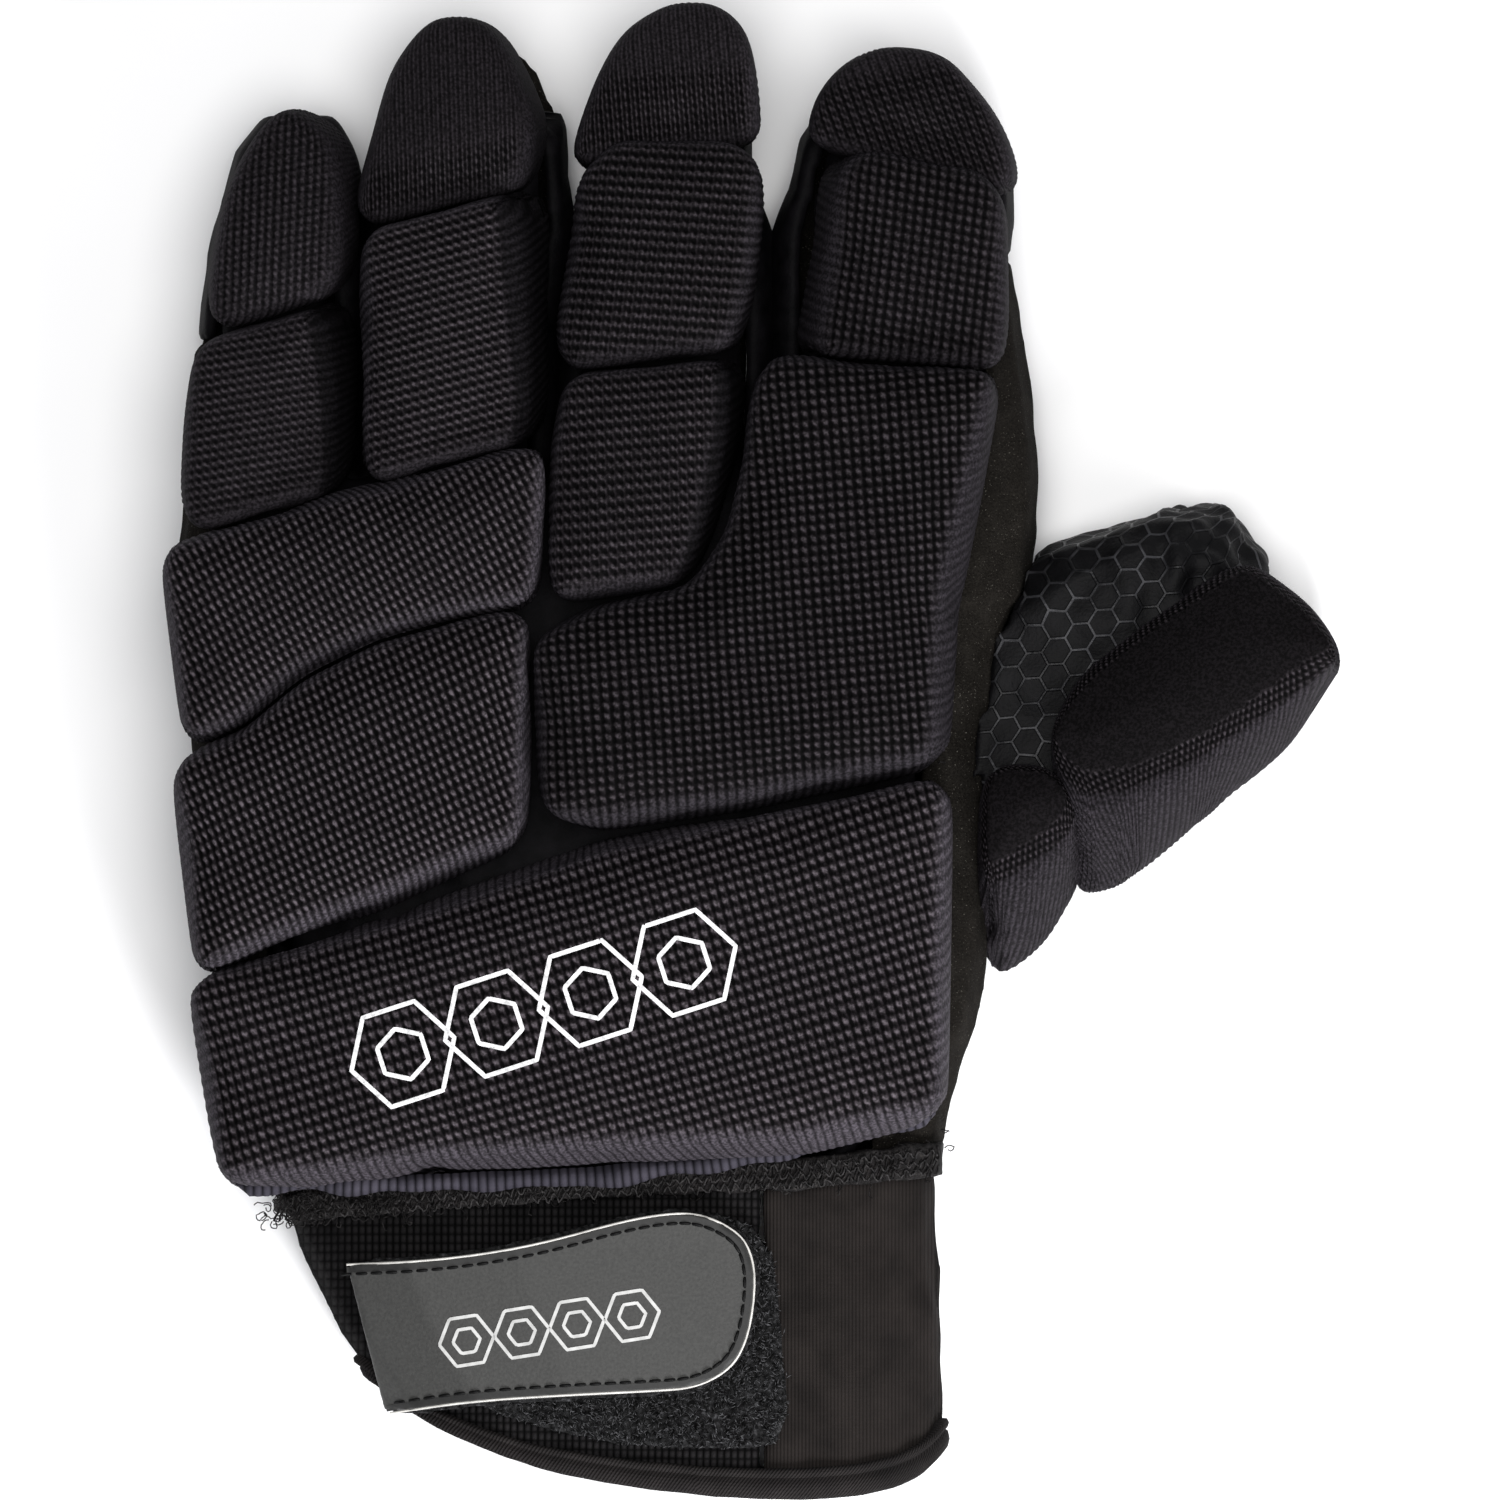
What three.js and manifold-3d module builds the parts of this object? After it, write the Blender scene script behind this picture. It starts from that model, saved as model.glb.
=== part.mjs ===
// Indoor hockey glove for the left hand. It lies palm down, fingers along +Y, thumb towards +X.
// Millimetres, +Z up, origin on the supporting surface under the middle of the glove.
import * as THREE from 'three';
import { mergeVertices } from 'three/addons/utils/BufferGeometryUtils.js';
import Module from 'manifold-3d';

const wasm = await Module();
wasm.setup();

// Driving dimensions
const WALL = 2.2;                  // suede, stretch fabric and leather of the glove body
const GAP = 0.3;                   // between pieces that are sewn or lie face to face
const WRIST_Y = -71.5;             // where the cuff is sewn to the hand
const PALM_HEIGHT = 5;             // the palm panel turns up this far round the edge
const FOURCHETTE_TOP = 17;         // upper edge of the fabric between the fingers
const BODY_POINTS = 18;            // points round a section of the hand and the cuff
const FINGER_POINTS = 12;          // points round a section of a finger

const SIZES = {
  padUndercut: 1.6,                // the pads' fabric turns under by this much
  padPull: 0.72,                   // a pad's edge never moves further in than this share
  hemWidth: 5,                     // binding tape, seen from above
  hemThickness: 0.9,
  seamHeight: 2.4,                 // overlocked lip at the wrist
  seamLowest: 10,                  // it runs down the sides to this height
  patchThickness: 1.5,
  strapBackThickness: 1.1,
  strapBadgeThickness: 2,
  strapLowest: 7,                  // the strap goes down the little-finger side to here
};

const FINISH = {
  suede: { color: 0x3a3732, roughness: 0.95 },
  stretch: { color: 0x1b1b1e, roughness: 0.7 },
  knit: { color: 0x242229, roughness: 0.85 },
  leather: { color: 0x17171a, roughness: 0.5 },
  thread: { color: 0x151516, roughness: 0.8 },
  rib: { color: 0x2b2725, roughness: 0.9 },
  mesh: { color: 0x202023, roughness: 0.85 },
  pile: { color: 0x0e0e0f, roughness: 1 },
  rubber: { color: 0x504f4d, roughness: 0.6 },
};

// Sections of the hollow body across Y. left and right are the edges, low and top the heights.
const HAND = [
  { y: WRIST_Y, left: -83, right: 31, low: 0, top: 26 },
  { y: -57, left: -88, right: 34, low: 0, top: 28.5 },
  { y: -40, left: -90, right: 39, low: 0, top: 29.5 },
  { y: -17, left: -93, right: 41, low: 0, top: 30 },
  { y: 6, left: -94, right: 43, low: 0, top: 30 },
  { y: 27, left: -96, right: 46.5, low: 0, top: 29 },
  { y: 41, left: -95.5, right: 48, low: 0, top: 27 },
  { y: 45.5, left: -93.5, right: 46, low: 0, top: 24 },
];

const FINGERS = {
  little: [
    { y: 25, left: -95.5, right: -67.5, low: 0, top: 24 },
    { y: 53, left: -94.8, right: -67.5, low: 0, top: 23.5 },
    { y: 83, left: -91, right: -66.5, low: 0, top: 21 },
    { y: 100, left: -86.5, right: -66, low: 0, top: 18.5 },
    { y: 106, left: -81.5, right: -69.5, low: 4, top: 15 },
  ],
  ring: [
    { y: 25, left: -64, right: -35, low: 0, top: 25 },
    { y: 70, left: -62.8, right: -34.8, low: 0, top: 24.5 },
    { y: 95, left: -62, right: -30.2, low: 0, top: 22 },
    { y: 105, left: -61.5, right: -31, low: 0, top: 20.5 },
    { y: 114, left: -59.5, right: -35.5, low: 0, top: 19 },
    { y: 121, left: -53.5, right: -42.5, low: 4, top: 15 },
  ],
  middle: [
    { y: 25, left: -31.5, right: -1, low: 0, top: 26 },
    { y: 64, left: -29.4, right: 0.6, low: 0, top: 25 },
    { y: 95, left: -27.3, right: 0.7, low: 0, top: 22.5 },
    { y: 115, left: -24, right: -1, low: 0, top: 19.5 },
    { y: 123, left: -18, right: -6, low: 4, top: 15 },
  ],
  index: [
    { y: 25, left: 6.5, right: 46.5, low: 0, top: 26 },
    { y: 45, left: 5.5, right: 48.4, low: 0, top: 26 },
    { y: 64, left: 6.2, right: 46.4, low: 0, top: 25 },
    { y: 80, left: 6.2, right: 43.6, low: 0, top: 24 },
    { y: 95, left: 6.2, right: 44, low: 0, top: 22.5 },
    { y: 102, left: 7.6, right: 41.5, low: 0, top: 21 },
    { y: 110, left: 13, right: 36.5, low: 0, top: 19 },
    { y: 116, left: 20, right: 31, low: 4, top: 15 },
  ],
};

// The thumb is lofted along its own axis and then turned into place.
const THUMB_PLACE = { x: 48, y: 8.4, turn: -49.9 };
const THUMB = [
  { y: -32, left: -18, right: 22, low: 0, top: 21 },
  { y: -14, left: -20, right: 21, low: 0, top: 22 },
  { y: 2, left: -20, right: 17, low: 0, top: 22.5 },
  { y: 17.5, left: -19, right: 15, low: 0, top: 23 },
  { y: 28, left: -14.5, right: 14.5, low: 0, top: 23 },
  { y: 38, left: -10.5, right: 12, low: 0, top: 21 },
  { y: 44.5, left: -5, right: 7, low: 4, top: 15 },
];

const CUFF = [
  { y: -130, left: -44, right: 31.5, low: 1.2, top: 23 },
  { y: -108, left: -60.6, right: 32, low: 1.1, top: 24 },
  { y: -97, left: -68.8, right: 32, low: 0.9, top: 24.5 },
  { y: -83, left: -75.6, right: 31, low: 0.4, top: 25 },
  { y: -77, left: -77.5, right: 31, low: 0.2, top: 25.6 },
  { y: WRIST_Y - GAP, left: -82, right: 31, low: 0, top: 26 },
];

// Edge of the cuff in plan, from the little-finger side round to the thumb side
const HEM = [
  { x: -78, y: -98.5 },
  { x: -64.5, y: -103 },
  { x: -55, y: -111.5 },
  { x: -43.5, y: -117 },
  { x: -31.5, y: -120.8 },
  { x: -13.5, y: -123.6 },
  { x: 4, y: -124.8 },
  { x: 18, y: -124.3 },
  { x: 28, y: -121.5 },
  { x: 33, y: -115 },
  { x: 40, y: -104 },
];

// Seams in plan where the suede side walls meet the back of the hand
const INDEX_SEAM = [
  { x: 16, y: -80 },
  { x: 26, y: -40 },
  { x: 29, y: 6 },
  { x: 35, y: 40 },
  { x: 39, y: 62 },
  { x: 37, y: 82 },
];
const LITTLE_SEAM = [
  { x: -70, y: -80 },
  { x: -80, y: -40 },
  { x: -85, y: 6 },
  { x: -87, y: 40 },
  { x: -87, y: 68 },
];

// Pads. Each section runs across the pad between two edge points, with the height of its crown.
// lean is how far the side that faces leanTo slopes in, tilt the rise across from left to right.
const PADS = {
  little_tip_pad: {
    base: 13, corner: 7, lean: 5, leanTo: [1, -0.2],
    sections: [
      { left: [-89.5, 70], right: [-67.5, 77], top: 36 },
      { left: [-90, 76], right: [-65.2, 86], top: 35.5 },
      { left: [-89, 86], right: [-64.8, 94], top: 34 },
      { left: [-86.5, 98], right: [-65.5, 99], top: 31 },
      { left: [-81, 106.5], right: [-70, 106.5], top: 27 },
    ],
  },
  little_middle_pad: {
    base: 14, corner: 6, lean: 6.5, leanTo: [1, 0],
    sections: [
      { left: [-93, 36.5], right: [-67.5, 44], top: 38 },
      { left: [-94.2, 42], right: [-66, 52], top: 38 },
      { left: [-93.5, 55.5], right: [-65.5, 62], top: 37.5 },
      { left: [-92, 67.5], right: [-66.5, 74.5], top: 36.5 },
    ],
  },
  ring_tip_pad: {
    base: 13, corner: 9, lean: 3, leanTo: [1, -0.2],
    sections: [
      { left: [-64, 87.3], right: [-34, 95.3], top: 38 },
      { left: [-65.5, 91], right: [-33, 100], top: 37.5 },
      { left: [-64, 99], right: [-33, 105.5], top: 36 },
      { left: [-61, 111], right: [-35, 112.5], top: 33.5 },
      { left: [-54, 121.5], right: [-40, 122], top: 28 },
    ],
  },
  ring_long_pad: {
    base: 14.5, corner: 6, lean: 7, leanTo: [1, 0],
    sections: [
      { left: [-63.5, 45], right: [-34.5, 52.5], top: 40.5 },
      { left: [-64.2, 50], right: [-34, 58.5], top: 40.5 },
      { left: [-64.2, 68.5], right: [-34, 75], top: 40 },
      { left: [-64, 86.3], right: [-34, 93.7], top: 38.5 },
    ],
  },
  middle_tip_pad: {
    base: 13, corner: 9, lean: 2, leanTo: [0, -1],
    sections: [
      { left: [-30, 95.5], right: [1.2, 102], top: 38.5 },
      { left: [-28.7, 103.5], right: [1, 106], top: 37.5 },
      { left: [-25.5, 113.5], right: [0, 116], top: 34.5 },
      { left: [-18, 125], right: [-4.5, 125.3], top: 28 },
    ],
  },
  middle_middle_pad: {
    base: 14.5, corner: 7, lean: 1.5, leanTo: [1, -0.6],
    sections: [
      { left: [-30.5, 63.5], right: [-2, 66.5], top: 41 },
      { left: [-31.7, 69.5], right: [2.5, 76], top: 41 },
      { left: [-28.7, 86], right: [4.5, 90], top: 40 },
      { left: [-27.8, 96], right: [2.5, 100.5], top: 38.5 },
    ],
  },
  middle_lower_pad: {
    base: 16, corner: 7, lean: 2, leanTo: [1, -0.3],
    sections: [
      { left: [-33, 25.2], right: [-10, 28.7], top: 45 },
      { left: [-33.5, 33], right: [-6, 38.5], top: 44.5 },
      { left: [-32.4, 50], right: [-2, 53], top: 43 },
      { left: [-30.3, 62.2], right: [-1.2, 64.7], top: 41.5 },
    ],
  },
  index_tip_pad: {
    base: 13, corner: 9, lean: 2, leanTo: [1, -0.4],
    sections: [
      { left: [10.5, 100.4], right: [43, 92.5], top: 38 },
      { left: [9.6, 103], right: [44.8, 95.5], top: 37.5 },
      { left: [11.5, 110], right: [43, 102.5], top: 35.5 },
      { left: [17, 117.8], right: [35.5, 115.5], top: 29 },
    ],
  },
  index_middle_pad: {
    base: 14.5, corner: 6, lean: 5, leanTo: [-1, 0],
    sections: [
      { left: [7.3, 66.4], right: [41, 63.6], top: 41 },
      { left: [8.5, 74], right: [41.8, 71.5], top: 40.5 },
      { left: [10.2, 84], right: [41.6, 80], top: 40 },
      { left: [12, 99], right: [41.4, 91.2], top: 38.5 },
    ],
  },
  index_hand_pad: {
    base: 16, corner: 7, lean: 2, leanTo: [1, -0.4], points: 36,
    sections: [
      { left: [-36, 18], right: [-34, -10.5], top: 46 },
      { left: [-25, 23.4], right: [-25, -12.2], top: 46.5 },
      { left: [-10.2, 27], right: [-1, -8.7], top: 47 },
      { left: [-4, 36], right: [32.3, -1.8], top: 46.5 },
      { left: [-0.8, 48.5], right: [33.8, 23.5], top: 46 },
      { left: [0.2, 59], right: [38, 45], top: 44.5 },
      { left: [3, 65], right: [41, 62], top: 42.5 },
    ],
  },
  upper_knuckle_pad: {
    base: 14, corner: 7, lean: 2, leanTo: [0, -1], points: 28,
    sections: [
      { left: [-98.9, 34], right: [-94.5, 1], top: 38 },
      { left: [-86, 36.5], right: [-85.5, 3.6], top: 40.5 },
      { left: [-71.5, 41.2], right: [-74.5, 12.5], top: 42.5 },
      { left: [-60, 43.8], right: [-62, 18.8], top: 44 },
      { left: [-46, 48], right: [-46, 23.2], top: 45 },
      { left: [-34.5, 50], right: [-36.5, 24.8], top: 45 },
    ],
  },
  lower_knuckle_pad: {
    base: 14, corner: 7, lean: 2, leanTo: [0, -1], points: 28,
    sections: [
      { left: [-97.2, -2.2], right: [-93, -38], top: 37.5 },
      { left: [-85, 2.6], right: [-81, -33.2], top: 40.5 },
      { left: [-74.5, 11.2], right: [-72, -29.7], top: 43 },
      { left: [-62, 17.4], right: [-61, -25.5], top: 44.5 },
      { left: [-46, 21.6], right: [-49, -19.8], top: 45.5 },
      { left: [-37.5, 22.5], right: [-38.5, -15.3], top: 46 },
    ],
  },
  back_hand_pad: {
    base: 13, corner: 8, lean: 3, leanTo: [0, -1], points: 40,
    sections: [
      { left: [-93.8, -38.2], right: [-88, -73.4], top: 35 },
      { left: [-75, -33], right: [-70, -72.4], top: 39.5 },
      { left: [-58.5, -28], right: [-53.5, -70], top: 43 },
      { left: [-25, -16.2], right: [-25, -68.2], top: 46 },
      { left: [8, -9.7], right: [8, -66.8], top: 46 },
      { left: [32.4, -5], right: [31.5, -61], top: 43 },
    ],
  },
  thumb_tip_pad: {
    base: 4, corner: 5, lean: 10, leanTo: [0.65, -0.76], tilt: 0.42, points: 24,
    sections: [
      { left: [50.6, 3.8], right: [57, -25.7], top: 31 },
      { left: [58, 9.5], right: [66, -19.5], top: 31.5 },
      { left: [70, 19.5], right: [79, -9], top: 31.5 },
      { left: [81, 29.3], right: [92.5, 3], top: 31 },
      { left: [90.2, 27.4], right: [99.4, 13.8], top: 28.5 },
    ],
  },
  thumb_base_pad: {
    base: 3, corner: 5, lean: 8, leanTo: [0.65, -0.76], tilt: 0.3,
    sections: [
      { left: [41.5, -19], right: [40.2, -40.5], top: 28 },
      { left: [41.5, -10], right: [48.3, -32.5], top: 29.5 },
      { left: [42, -3.2], right: [54.2, -23], top: 30 },
      { left: [48, -3.6], right: [54.4, -10.5], top: 29.5 },
    ],
  },
};

// From the pad's turned-under lower edge up over its shoulder: inset in plan, height above the base
// or depth below the crown, and the share of the lean reached there
const PAD_PROFILE = [
  { inset: SIZES.padUndercut, up: 0, lean: 0 },
  { inset: 0, up: 3, lean: 0 },
  { inset: 0, down: 6, lean: 0.6 },
  { inset: 0.9, down: 2.6, lean: 0.9 },
  { inset: 3, down: 0.8, lean: 1 },
];
const PAD_CROWN = { share: 0.8, rise: 0.5 };

// Outlines in plan of the flat pieces on the cuff, in sections from left to right
const STRAP = {
  corner: 9,
  sections: [
    { left: [-67.8, -84.6], right: [-60.8, -111.8], corner: 0.8 },
    { left: [-52.5, -83.9], right: [-47.5, -109.7] },
    { left: [-36.5, -81.5], right: [-31.5, -108.6] },
    { left: [-18, -76.3], right: [-18.5, -108] },
    { left: [-7, -75.8], right: [-7.5, -107.3] },
    { left: [2.4, -82.5], right: [0.5, -101] },
  ],
};
const PATCH = {
  corner: 5,
  sections: [
    { left: [-64, -86], right: [-55, -105] },
    { left: [-42, -83], right: [-38.5, -112.3] },
    { left: [-25, -79], right: [-22, -116] },
    { left: [-3, -76.5], right: [-2, -116.6] },
    { left: [3.8, -82.5], right: [6.6, -116] },
  ],
};
const WRIST_SEAM = {
  corner: 2,
  sections: [
    { left: [-84, -74.6], right: [-78.5, -78.5] },
    { left: [-55, -71.8], right: [-53.5, -76.6] },
    { left: [-25, -69.4], right: [-25, -74.4] },
    { left: [8, -67.9], right: [11.5, -73] },
    { left: [33.5, -64.8], right: [33.5, -71] },
  ],
};
const CUFF_SPLIT_X = 1.5;          // seam between the cuff's two fabrics, under the loop patch
const FAR = 200;                   // cutting volumes reach past the glove by this much

// Solids
function toManifold(geometry) {
  geometry.deleteAttribute('normal');
  geometry.deleteAttribute('uv');
  const merged = mergeVertices(geometry, 1e-4);
  return new wasm.Manifold(new wasm.Mesh({
    numProp: 3,
    vertProperties: new Float32Array(merged.attributes.position.array),
    triVerts: new Uint32Array(merged.index.array),
  }));
}

function toGeometry(solid) {
  const mesh = solid.getMesh();
  const geometry = new THREE.BufferGeometry();
  geometry.setAttribute('position', new THREE.BufferAttribute(mesh.vertProperties, mesh.numProp));
  geometry.setIndex(new THREE.BufferAttribute(mesh.triVerts, 1));
  const faceted = geometry.toNonIndexed();
  faceted.computeVertexNormals();
  return faceted;
}

// Closed skin over a stack of rings with equal numbers of points. flatten gives a ring's own plane;
// inward is true where the rings turn the other way round the direction of the stack.
function skin(rings, flatten, inward) {
  const count = rings[0].length;
  const faces = [];
  const put = (a, b, c) => faces.push(...(inward ? [a, c, b] : [a, b, c]));
  for (let ring = 0; ring < rings.length - 1; ring += 1) {
    for (let i = 0; i < count; i += 1) {
      const a = ring * count + i;
      const b = ring * count + (i + 1) % count;
      put(a, b, b + count);
      put(a, b + count, a + count);
    }
  }
  const capAt = (ring, reversed) => {
    for (const [a, b, c] of THREE.ShapeUtils.triangulateShape(rings[ring].map(flatten), [])) {
      const first = ring * count;
      faces.push(first + a, first + (reversed ? c : b), first + (reversed ? b : c));
    }
  };
  capAt(0, true);
  capAt(rings.length - 1, false);
  const geometry = new THREE.BufferGeometry();
  geometry.setAttribute('position', new THREE.Float32BufferAttribute(
    rings.flat().flatMap((p) => [p.x, p.y, p.z]), 3));
  geometry.setIndex(faces);
  return toManifold(geometry);
}

// A faint bowl in a section's plane, so that the cap also uses the points of its straight underside
const CAP_BOWL = 1e-4;

const power = (value, exponent) => Math.sign(value) * Math.abs(value) ** exponent;

// One section of the body: domed above, flat where it lies on the surface
function bodySection(row, y, grow, points) {
  const left = row.left - grow;
  const right = row.right + grow;
  const low = row.low - grow;
  const top = row.top + grow;
  const waist = low + 0.42 * (top - low);
  return Array.from({ length: points }, (_, i) => {
    const angle = (2 * Math.PI * i) / points;
    const squareness = angle > Math.PI ? 0.45 : 0.7;
    const x = (left + right) / 2 + (right - left) / 2 * power(Math.cos(angle), squareness);
    const z = waist + (top - waist) * power(Math.sin(angle), 0.8);
    return new THREE.Vector3(x, y, Math.max(low, z));
  });
}

// Loft through body sections, grown all round; start and end lengthen it along Y.
function loft(rows, grow, points, start = grow, end = grow) {
  const rings = rows.map((row, i) => {
    const shift = (i === 0 ? -start : 0) + (i === rows.length - 1 ? end : 0);
    return bodySection(row, row.y + shift, grow, points);
  });
  return skin(rings, (p) => new THREE.Vector2(p.x, -p.z - CAP_BOWL * p.x * p.x), true);
}

// Closed outline through sections: up their right ends, back down their left ends
function outline({ sections, corner, points = 20 }) {
  const corners = [
    ...sections.map((s) => new THREE.Vector2(...s.right)),
    ...sections.map((s) => new THREE.Vector2(...s.left)).reverse(),
  ];
  const rounding = sections.map((s) => s.corner ?? corner);
  const roundings = [...rounding, ...rounding.slice().reverse()];
  const path = new THREE.Path();
  corners.forEach((here, i) => {
    const before = corners[(i + corners.length - 1) % corners.length];
    const after = corners[(i + 1) % corners.length];
    const cutIn = Math.min(roundings[i], 0.49 * here.distanceTo(before));
    const cutOut = Math.min(roundings[i], 0.49 * here.distanceTo(after));
    const start = here.clone().lerp(before, cutIn / here.distanceTo(before));
    const end = here.clone().lerp(after, cutOut / here.distanceTo(after));
    if (i === 0) path.moveTo(start.x, start.y);
    else path.lineTo(start.x, start.y);
    path.quadraticCurveTo(here.x, here.y, end.x, end.y);
  });
  path.closePath();
  return path.getSpacedPoints(points).slice(0, points);
}

// Middle line of a pad, short of its ends, each point with the crown's height there
function padSpine({ sections, lean, leanTo }) {
  const aside = new THREE.Vector2(...leanTo).normalize().multiplyScalar(-lean / 2);
  const middles = sections.map((s) => ({
    at: new THREE.Vector2(...s.left).add(new THREE.Vector2(...s.right)).multiplyScalar(0.5).add(aside),
    across: new THREE.Vector2(...s.right).sub(new THREE.Vector2(...s.left)),
    top: s.top,
  }));
  const spine = [];
  const steps = 4;
  for (let i = 0; i < middles.length - 1; i += 1) {
    for (let step = 0; step < steps; step += 1) {
      const t = step / steps;
      spine.push({
        at: middles[i].at.clone().lerp(middles[i + 1].at, t),
        across: middles[i].across.clone().lerp(middles[i + 1].across, t).normalize(),
        top: THREE.MathUtils.lerp(middles[i].top, middles[i + 1].top, t),
      });
    }
  }
  const last = middles[middles.length - 1];
  spine.push({ at: last.at, across: last.across.clone().normalize(), top: last.top });
  const endWidth = (s) => 0.3 * new THREE.Vector2(...s.left).distanceTo(new THREE.Vector2(...s.right));
  const startTrim = endWidth(sections[0]);
  const endTrim = endWidth(sections[sections.length - 1]);
  const kept = spine.filter((s) => s.at.distanceTo(spine[0].at) >= startTrim
    && s.at.distanceTo(last.at) >= endTrim);
  return kept.length ? kept : [spine[Math.floor(spine.length / 2)]];
}

function padSolid(pad) {
  const edge = outline(pad);
  const spine = padSpine(pad);
  const leanTo = new THREE.Vector2(...pad.leanTo).normalize();
  const nearest = edge.map((p) => spine.reduce((best, s) => (
    s.at.distanceTo(p) < best.at.distanceTo(p) ? s : best), spine[0]));
  const place = (i, inset) => {
    const room = edge[i].distanceTo(nearest[i].at);
    return edge[i].clone().lerp(nearest[i].at, Math.min(inset / room, SIZES.padPull));
  };
  const crown = (i, p) => nearest[i].top
    + (pad.tilt ?? 0) * p.clone().sub(nearest[i].at).dot(nearest[i].across);
  const ring = (row) => edge.map((p, i) => {
    const facing = Math.max(0, p.clone().sub(nearest[i].at).normalize().dot(leanTo));
    const at = place(i, row.inset + pad.lean * row.lean * facing);
    const z = row.up === undefined ? crown(i, at) - row.down : pad.base + row.up;
    return new THREE.Vector3(at.x, at.y, z);
  });
  const crest = edge.map((p, i) => {
    const at = p.clone().lerp(nearest[i].at, PAD_CROWN.share);
    return new THREE.Vector3(at.x, at.y, crown(i, at) + PAD_CROWN.rise);
  });
  return skin([...PAD_PROFILE.map(ring), crest], (p) => new THREE.Vector2(p.x, p.y), false);
}

// Upright cutting volume over an outline in plan
function prism(points, low = -FAR, high = FAR) {
  const shape = new THREE.Shape(points.map((p) => new THREE.Vector2(p.x, p.y)));
  const geometry = new THREE.ExtrudeGeometry(shape, { depth: high - low, bevelEnabled: false });
  return toManifold(geometry.translate(0, 0, low));
}

const halfSpace = (low, high) => prism([
  { x: -FAR, y: -FAR }, { x: FAR, y: -FAR }, { x: FAR, y: FAR }, { x: -FAR, y: FAR },
], low, high);

// All that lies outside a seam, towards the side given by farX, moved over by shift
function besideSeam(seam, farX, shift) {
  const line = seam.map((p) => ({ x: p.x + shift, y: p.y }));
  const first = line[0];
  const last = line[line.length - 1];
  return prism([{ x: farX, y: first.y }, ...line, { x: farX, y: last.y }]);
}

// All of the cuff above its hem, the hem moved up by shift
function aboveHem(shift) {
  const curve = new THREE.SplineCurve(HEM.map((p) => new THREE.Vector2(p.x, p.y + shift)));
  return prism([...curve.getPoints(14), { x: FAR, y: -40 }, { x: -FAR, y: -40 }]);
}

function largestPiece(solid) {
  return solid.decompose().sort((a, b) => b.volume() - a.volume())[0];
}

// Body
const handForm = (grow, start, end) => Object.values(FINGERS).reduce(
  (form, rows) => form.add(loft(rows, grow, FINGER_POINTS)),
  loft(HAND, grow, BODY_POINTS, start, end));

function thumbForm(grow, start) {
  return loft(THUMB, grow, FINGER_POINTS, start, grow)
    .rotate([0, 0, THUMB_PLACE.turn])
    .translate([THUMB_PLACE.x, THUMB_PLACE.y, 0]);
}

const cuffForm = (grow, start, end) => loft(CUFF, grow, BODY_POINTS, start, end);

const OPEN = 12;                   // inner forms reach past an open end by this much
const handOuter = handForm(0, 0, 0);
const handCover = handForm(GAP, GAP, GAP);
const thumbOuter = thumbForm(0, 0);
const thumbCover = thumbForm(GAP, GAP);
const thumbHollow = thumbForm(-WALL, -WALL);
const handShell = handOuter.subtract(handForm(-WALL, OPEN, -WALL)).subtract(thumbHollow);
const thumbShell = thumbOuter.subtract(thumbHollow).subtract(handCover);

const upperShell = handShell.intersect(halfSpace(PALM_HEIGHT + GAP, FAR));
const indexSide = besideSeam(INDEX_SEAM, FAR, 0);
const littleSide = besideSeam(LITTLE_SEAM, -FAR, 0);
const middleShell = upperShell
  .subtract(besideSeam(INDEX_SEAM, FAR, -GAP))
  .subtract(besideSeam(LITTLE_SEAM, -FAR, GAP));
const fingerSides = middleShell.intersect(halfSpace(PALM_HEIGHT, FOURCHETTE_TOP));
const RING_X = -48;
const MIDDLE_X = -12.6;
const between = (from, to) => prism([
  { x: from, y: -FAR }, { x: to, y: -FAR }, { x: to, y: FAR }, { x: from, y: FAR },
]);

// Cuff
const cuffCover = cuffForm(GAP, 0, GAP);
const cuffShell = cuffForm(0, 0, 0)
  .subtract(cuffForm(-WALL, OPEN, OPEN))
  .intersect(aboveHem(SIZES.hemThickness + GAP));
const hemBinding = cuffForm(SIZES.hemThickness, 0, 0)
  .subtract(cuffForm(-WALL - SIZES.hemThickness, OPEN, OPEN))
  .intersect(aboveHem(0))
  .subtract(aboveHem(SIZES.hemWidth))
  .subtract(cuffForm(GAP, OPEN, OPEN)
    .subtract(cuffForm(-WALL - GAP, OPEN, OPEN))
    .intersect(aboveHem(SIZES.hemThickness)));

// A piece lying on the cuff between two heights above it
function onCuff(flat, from, thickness, lowest) {
  return cuffForm(from + thickness, 0, 0)
    .subtract(cuffForm(from, OPEN, OPEN))
    .intersect(prism(outline({ ...flat, points: 28 }), lowest, FAR));
}

const aboveBase = (flat, inset) => ({
  ...flat,
  sections: flat.sections.map(({ left, right }, i) => {
    const share = inset / Math.hypot(right[0] - left[0], right[1] - left[1]);
    const last = i === flat.sections.length - 1 ? inset : 0;
    const mix = (a, b) => [a[0] + share * (b[0] - a[0]) - last, a[1] + share * (b[1] - a[1])];
    return { ...flat.sections[i], left: mix(left, right), right: mix(right, left) };
  }),
});

const patchTop = GAP + SIZES.patchThickness;
const strapBackTop = patchTop + GAP + SIZES.strapBackThickness;
const wristSeam = handForm(SIZES.seamHeight, 0, 0).add(cuffForm(SIZES.seamHeight, 0, GAP))
  .subtract(handCover)
  .subtract(cuffCover)
  .intersect(prism(outline({ ...WRIST_SEAM, points: 32 }), SIZES.seamLowest, FAR));

// Assembly
const group = new THREE.Group();

function addPiece(name, solid, finish) {
  const material = new THREE.MeshStandardMaterial({ ...FINISH[finish], metalness: 0 });
  const mesh = new THREE.Mesh(toGeometry(largestPiece(solid)), material);
  mesh.name = name;
  group.add(mesh);
}

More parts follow.
